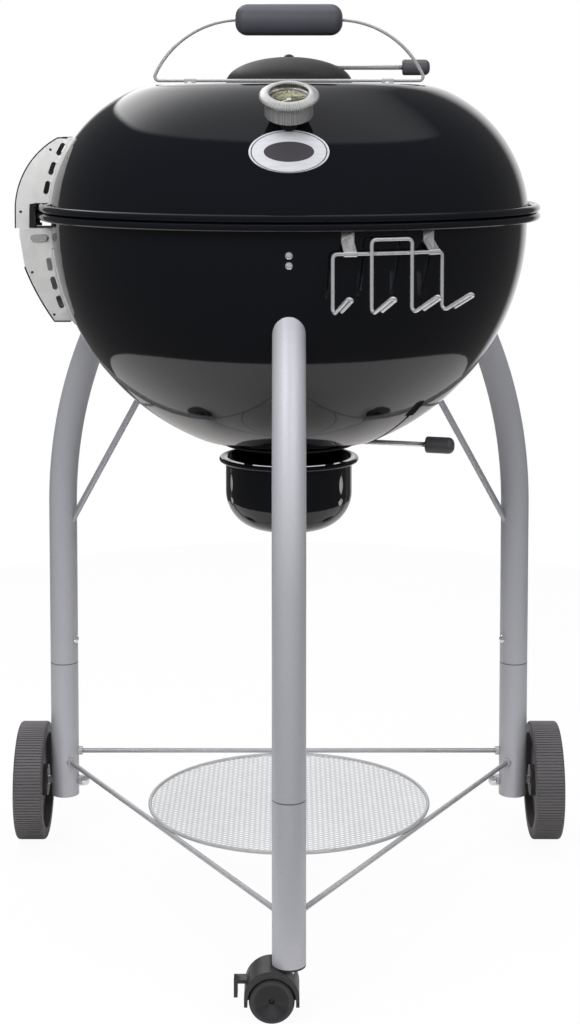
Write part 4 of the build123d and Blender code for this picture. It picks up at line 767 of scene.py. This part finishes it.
def rounded(corners, radius, count=8):
    """Path through corners, each inner one cut by an arc that starts r / tan(half angle) before it."""
    path = [corners[0]]
    for before, corner, after in zip(corners, corners[1:], corners[2:]):
        back, ahead = unit(before - corner), unit(after - corner)
        half = np.arccos(np.dot(back, ahead)) / 2
        middle = corner + unit(back + ahead) * radius / sin(half)
        start, end = (corner + way * radius / np.tan(half) - middle for way in (back, ahead))
        swing = pi - 2 * half
        for part in np.linspace(0, 1, count):
            path.append(middle + (sin((1 - part) * swing) * start + sin(part * swing) * end) / sin(swing))
    return path + [corners[-1]]


def tube(path, radius, sides=16):
    """Points p + r (cos(a) n + sin(a) b) round a path, with n and b square to it, and the faces."""
    path = np.array(path)
    along = np.gradient(path, axis=0)
    normal = np.cross(along[0], unit(OFF_AXIS))
    turn = np.linspace(0, 2 * pi, sides, endpoint=False)[:, None]
    rings = []
    for point, way in zip(path, along):
        normal = unit(normal - np.dot(normal, unit(way)) * unit(way))
        beside = np.cross(unit(way), normal)
        rings.append(point + radius * (np.cos(turn) * normal + np.sin(turn) * beside))
    return capped(np.array(rings))


def joined(name, parts):
    """One mesh from several sets of points and faces."""
    points, faces = [], []
    for some_points, some_faces in parts:
        faces += [[index + len(points) for index in face] for face in some_faces]
        points += some_points.tolist()
    mesh = bpy.data.meshes.new(name)
    mesh.from_pydata(points, [], faces)
    return smooth(mesh, WIRE_CREASE)


# %% handle
HANDLE_WIRE = 0.002
HANDLE_RISE = 0.0773
HANDLE_LIFT = 0.003
HANDLE_STRAIGHT = 0.058
HANDLE_BEND = 0.112
HANDLE_FOOT = 0.005
HANDLE_SPLIT = 0.001


def handle_path():
    """Half loop from the grip down to the lid, then its mirror image on the other side."""
    top_z = lid_top_z + HANDLE_RISE
    base_z = lid_top_z + HANDLE_LIFT + HANDLE_WIRE
    lift = base_z + HANDLE_FOOT - (top_z - HANDLE_BEND)
    step = HANDLE_BEND - HANDLE_FOOT
    foot = (HANDLE_STRAIGHT + sqrt(step**2 - lift**2), base_z + HANDLE_FOOT)
    join = degrees(asin(lift / step))
    half = np.vstack([
        [(HANDLE_SPLIT, top_z)],
        arc((HANDLE_STRAIGHT, top_z - HANDLE_BEND), HANDLE_BEND, 90, join, 30),
        arc(foot, HANDLE_FOOT, join, -90, 12)[1:],
    ])
    flat = np.vstack([half, (half * (-1, 1))[::-1]])
    return np.insert(flat, 1, 0.0, axis=1)


handle = add_piece("handle_loop", joined("handle_loop", [tube(handle_path(), HANDLE_WIRE)]), "handle_wire")
print("handle faces:", len(handle.data.polygons))

# %% tool rack
RACK_WIRE = 0.002
RACK_RADIUS = BALL_RADIUS + 0.0105
RACK_BAR_Z = rim_z - 0.0325
RACK_LOW_Z = rim_z - 0.098
RACK_BRIDGE_RISE = 0.015
RACK_BRIDGE_RADIUS = RACK_RADIUS + 0.0041
RACK_BEND = 0.005
RACK_LEAD = RACK_BEND + 0.001
RACK_AZIMUTHS = (-81.0, -73.0, -64.0, -56.0)
HOOK_REACH = 0.038
HOOK_RISE = 0.022
HOOK_SKEW = 15.0
EYE_WIDTH = 0.0046
EYE_START = 0.35
EYE_END = 1.9


def hook(azimuth, corner):
    """Path from a hook's eye, round its tip and down to the foot, then up to the corner.

    The eye is a hairpin: the wire runs back beside itself, at a distance w, from the tip to a part of
    the hook's length.
    """
    foot = np.array([corner[0], corner[1], RACK_LOW_Z])
    tip = foot + level(HOOK_REACH, azimuth + HOOK_SKEW, HOOK_RISE)
    way = unit(tip - foot)
    beside = unit(np.cross(way, level(1, azimuth, 0.0))) * EYE_WIDTH / 2
    eye_middle = tip - way * EYE_WIDTH / 2
    eye = [eye_middle + beside * (1 - cos(turn)) + way * sin(turn) * EYE_WIDTH / 2
           for turn in np.linspace(pi, 0, 10)]
    back = foot + (tip - foot) * EYE_START + EYE_END * beside
    return [back] + eye, rounded([eye[-1], foot, corner], RACK_BEND)[1:-1]


def outer_wire():
    """Two hooks at the ends of a bar that follows the bowl."""
    turn = degrees(RACK_LEAD / RACK_RADIUS)
    sides = []
    for azimuth, way in ((RACK_AZIMUTHS[0], 1), (RACK_AZIMUTHS[-1], -1)):
        bar_end = level(RACK_RADIUS, azimuth + way * turn, RACK_BAR_Z)
        corner = bar_end + level(-way * RACK_LEAD, azimuth + way * turn + 90, 0.0)
        eye, bend = hook(azimuth, corner)
        top = rounded([bend[-1], corner, bar_end], RACK_BEND)[1:]
        sides.append(eye + bend + top)
    azimuths = np.linspace(RACK_AZIMUTHS[0] + turn, RACK_AZIMUTHS[-1] - turn, 24)[1:-1]
    bar = [level(RACK_RADIUS, azimuth, RACK_BAR_Z) for azimuth in azimuths]
    return sides[0] + bar + sides[1][::-1]


def inner_wire():
    """Two hooks joined by a raised bridge in front of the bar."""
    azimuths = RACK_AZIMUTHS[1:3]
    bridge_z = RACK_BAR_Z + RACK_BRIDGE_RISE
    corners = [level(RACK_BRIDGE_RADIUS, azimuth, bridge_z) for azimuth in azimuths]
    (eye, bend), (last_eye, last_bend) = map(hook, azimuths, corners)
    bridge = rounded([bend[-1], *corners, last_bend[-1]], RACK_BEND)[1:-1]
    return eye + bend + bridge + (last_eye + last_bend)[::-1]


rack = [
    add_piece("rack_outer", joined("rack_outer", [tube(outer_wire(), RACK_WIRE)]), "rack_outer_wire"),
    add_piece("rack_inner", joined("rack_inner", [tube(inner_wire(), RACK_WIRE)]), "rack_inner_wire"),
]
print("rack faces:", [len(wire.data.polygons) for wire in rack])

# %% [markdown]
# ## Hinge edges and notch, in painted shade
# The outer edges of both hinge brackets get dark lines, painted shade for the sheet's edges that lie in
# shade, and a dark C with the black rubber finish lines the notch that the two flanges enter, painted
# shade for the notch's shaded inside. The lines are thin tubes along the brackets' outline, which is arcs
# and straight ends, so they need no selection of faces on the solid. The upper lines and the dark C swing
# with the lid.

# %% painted shade lines and notch shade
# Dark lines along the brackets' edges and a dark C in the notch: painted shade, not parts of their own.
SHADE_LINE_RADIUS = 0.0009
HINGE_REACH = 0.0255
HINGE_RISE = 0.087
HINGE_CORNER = (0.098, 0.086)
HINGE_CORNER_RADIUS = 0.098
HINGE_STEP = 0.005
HINGE_ARC_DROP = 0.066
HINGE_FOOT = (0.2855, 0.1736)
HINGE_FOOT_RADIUS = 0.300
HINGE_DROP = 0.131
HINGE_SPLIT_DROP = 0.020
HINGE_MEETS_LID = 0.262
HINGE_MEETS_BOWL = 0.260
LID_CHEEK = 0.0260
BOWL_CHEEK = 0.0285
NOTCH_SHADE_BARS = (0.0058, 0.0034)
NOTCH_SHADE_DEPTH = (0.0225, 0.0268)
NOTCH_DEPTH = 0.009
NOTCH_GAP = 0.0005


def add_trim(name, mesh, body, slot):
    """Puts an extra piece on a body: it stands for no node of its own."""
    piece = bpy.data.objects.new(name, mesh)
    scene.collection.objects.link(piece)
    mesh.materials.append(finishes[slot])
    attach(piece, body)
    return piece


def on_cheeks(flat, half_width):
    """The same path in x and z on the front cheek and on the rear cheek."""
    return [tube(np.insert(flat, 1, y, axis=1), SHADE_LINE_RADIUS, 10) for y in (-half_width, half_width)]


def upper_edge():
    """Up the outer edge and round the corner arc, then along the top until it meets the lid."""
    outer_x = -flange_radius - HINGE_REACH
    corner = (outer_x + HINGE_CORNER[0], rim_z + HINGE_RISE - HINGE_CORNER[1])
    top = degrees(asin(HINGE_CORNER[1] / HINGE_CORNER_RADIUS))
    return np.vstack([
        [(outer_x, rim_z - HINGE_SPLIT_DROP)],
        arc(corner, HINGE_CORNER_RADIUS, 180, 180 - top, 30),
        [(-HINGE_MEETS_LID, rim_z + HINGE_RISE)],
    ])


def lower_edge():
    """Down the wide arc of the outer edge, then along the foot until it meets the bowl."""
    outer_x = -flange_radius - HINGE_REACH + HINGE_STEP
    middle = (outer_x + HINGE_FOOT[0], rim_z - HINGE_DROP + HINGE_FOOT[1])
    low = degrees(asin((rim_z - HINGE_DROP - middle[1]) / HINGE_FOOT_RADIUS))
    high = degrees(asin((rim_z - HINGE_ARC_DROP - middle[1]) / HINGE_FOOT_RADIUS))
    foot = [(-HINGE_MEETS_BOWL, rim_z - HINGE_DROP)]
    return np.vstack([arc(middle, HINGE_FOOT_RADIUS, 180 - high, 180 - low, 24), foot])


def notch_shade():
    """C-shaped dark bars round the notch of each cheek, painted shade for its shaded inside: points of the
    C in x and z, pushed through in y.
    """
    left = -flange_radius - NOTCH_DEPTH + NOTCH_GAP
    right = -flange_radius - NOTCH_GAP
    low = rim_z - HINGE_SPLIT_DROP + NOTCH_GAP
    high = lid_z + 2 * BEAD_RADIUS - NOTCH_GAP
    upright, level_bar = NOTCH_SHADE_BARS
    outline = np.array([(right, low), (right, low + level_bar), (left + upright, low + level_bar),
                        (left + upright, high - level_bar), (right, high - level_bar), (right, high),
                        (left, high), (left, low)])
    parts = []
    for front, back in ((-NOTCH_SHADE_DEPTH[1], -NOTCH_SHADE_DEPTH[0]), NOTCH_SHADE_DEPTH):
        parts.append(capped(np.array([np.insert(outline, 1, y, axis=1) for y in (front, back)])))
    return parts


upper_shade_lines = joined("hinge_upper_shade_lines", on_cheeks(upper_edge(), LID_CHEEK))
lower_shade_lines = joined("hinge_lower_shade_lines", on_cheeks(lower_edge(), BOWL_CHEEK))
# Painted shade: dark tubes along the edges and a dark C inside the notch.
trims = [
    add_trim("hinge_upper_shade_lines", upper_shade_lines, "lid_assembly", "grommet"),
    add_trim("hinge_lower_shade_lines", lower_shade_lines, "stand", "grommet"),
    add_trim("hinge_notch_shade", joined("hinge_notch_shade", notch_shade()), "lid_assembly", "grommet"),
]
print("trims:", [trim.name for trim in trims])

# %% [markdown]
# ## Painted light in the ash pot's cut-outs
# Behind each leaf and flower of the ash pot lies a strip of pale sheet, painted light that makes the
# cut-outs look bright. The strip follows the inside of the wall, first straight and then round the bend to
# the floor.

# %% painted light strips
POT_INSIDE = 0.0755
POT_CORNER = 0.045
POT_DEPTH = 0.087
LIGHT_STRIP_AZIMUTHS = (-35.0, 85.0, 205.0)
LIGHT_STRIP_HALF = 6.0
LIGHT_STRIP_DROPS = (0.060, 0.012)
LIGHT_STRIP_GAP = 0.0003
LIGHT_STRIP_SHEET = 0.0005
pot_rim_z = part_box("ash_pot")[1].z


def light_strip(azimuth):
    """Pale strip of painted light that follows the wall: r = c + sqrt(R^2 - d^2) where the wall bends, d
    below the bend.
    """
    rings = []
    for drop in np.linspace(*LIGHT_STRIP_DROPS, 20):
        below = max(drop - (POT_DEPTH - POT_CORNER), 0.0)
        wall = POT_INSIDE - POT_CORNER + sqrt(POT_CORNER**2 - below**2) - LIGHT_STRIP_GAP
        turns = np.linspace(azimuth - LIGHT_STRIP_HALF, azimuth + LIGHT_STRIP_HALF, 9)
        outer = [level(wall, turn, pot_rim_z - drop) for turn in turns]
        inner = [level(wall - LIGHT_STRIP_SHEET, turn, pot_rim_z - drop) for turn in turns[::-1]]
        rings.append(outer + inner)
    return capped(np.array(rings))


# Pale strips behind the cut-outs: painted light, so the cut-outs look bright.
strips = [light_strip(azimuth) for azimuth in LIGHT_STRIP_AZIMUTHS]
light_strips = add_trim("pot_painted_light_strips", joined("pot_painted_light_strips", strips), body_of_node["ash_pot"], "hinge_sheet")
print("liner faces:", len(light_strips.data.polygons))

# %% [markdown]
# ## Wheels
# The tread of each rear wheel has fine ribs. To cut so many grooves by Booleans would be slow, so the
# wheel's section is turned about the axle, and the points of the tread step in between two ribs.

# %% ribbed wheels
RIBS = 120
RIB_DEPTH = 0.0011
RIB_EDGES = (0.0, 0.62, 0.68, 0.94)
WHEEL_EDGE = 0.0035
WHEEL_RIM = 0.061
WHEEL_HUB = 0.020
WHEEL_BORE = 0.0053
WHEEL_RECESS = 0.009
HUB_STEP = 0.006


def ribbed_wheel(node):
    """Ring of section points (r, w) round the axle, w from the inner face, with r - d between the ribs."""
    low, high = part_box(node)
    side = 1 if low.x > 0 else -1
    radius, width = (high.z - low.z) / 2, high.x - low.x
    inner_x = low.x if side > 0 else high.x
    hub_end = width - HUB_STEP
    edge = WHEEL_EDGE
    section = np.vstack([
        [(WHEEL_BORE, 0), (WHEEL_HUB, 0), (WHEEL_HUB, WHEEL_RECESS)],
        [(WHEEL_RIM, WHEEL_RECESS), (WHEEL_RIM, 0)],
        arc((radius - edge, edge), edge, -90, 0, 8),
        arc((radius - edge, width - edge), edge, 0, 90, 8),
        [(WHEEL_RIM, width), (WHEEL_RIM, width - WHEEL_RECESS), (WHEEL_HUB, width - WHEEL_RECESS)],
        [(WHEEL_HUB, hub_end), (WHEEL_BORE, hub_end), (WHEEL_BORE, 0)],
    ])
    turn = (np.arange(RIBS)[:, None] + np.array(RIB_EDGES)).ravel() * 2 * pi / RIBS
    sunk = np.tile([0, 0, 1, 1], RIBS)
    tread = section[:, :1] > radius - edge
    reach = section[:, :1] - RIB_DEPTH * sunk * tread
    middle = (low + high) / 2
    x = inner_x + side * section[:, 1:] + 0 * turn
    y = middle.y + reach * np.cos(turn) * side
    z = middle.z + reach * np.sin(turn)
    points = np.stack([x, y, z], axis=-1)
    return joined(node + "_ribbed", [(points.reshape(-1, 3), skin(points))])


wheels = [add_piece(node + "_ribbed", ribbed_wheel(node), node) for node in ("left_wheel", "right_wheel")]
print("wheel faces:", [len(wheel.data.polygons) for wheel in wheels])

# %% [markdown]
# ## The caster's hood
# The hood and the web between the two small wheels end together, well above the floor, so the grill
# stands on the wheels. A plane cuts the copy of the solid level there, and the open cut is filled.

# %% hood with a level lower edge
HOOD_SKIRT_Z = 0.0185


def cut_level(mesh, z):
    """Takes away what lies below a height and closes the cut."""
    work = bmesh.new()
    work.from_mesh(mesh)
    bmesh.ops.remove_doubles(work, verts=work.verts, dist=MERGE_DISTANCE)
    everything = work.verts[:] + work.edges[:] + work.faces[:]
    cut = bmesh.ops.bisect_plane(work, geom=everything, plane_co=(0, 0, z), plane_no=(0, 0, 1),
                                 clear_inner=True)
    edges = [part for part in cut["geom_cut"] if isinstance(part, bmesh.types.BMEdge)]
    bmesh.ops.triangle_fill(work, edges=edges, normal=(0, 0, -1))
    work.to_mesh(mesh)
    work.free()
    return mesh


hood_mesh = cut_level(frame["nodes"]["caster_hood"].data.copy(), HOOD_SKIRT_Z)
hood = add_piece("caster_hood_dressed", smooth(hood_mesh), "caster_hood")
print("hood faces:", len(hood.data.polygons))

# %% [markdown]
# ## The other pieces
# The rest keeps the shape of its solid, which is fine enough for a matt or a small piece.

# %% dress every other node
drawn_again = {"bowl", "lid", "shelf_mesh", "handle_wire", "rack_outer_wire", "rack_inner_wire",
               "left_wheel", "right_wheel", "caster_hood"}
copies = [dressed(node) for node in frame["nodes"] if node not in drawn_again]
print("copies:", len(copies))
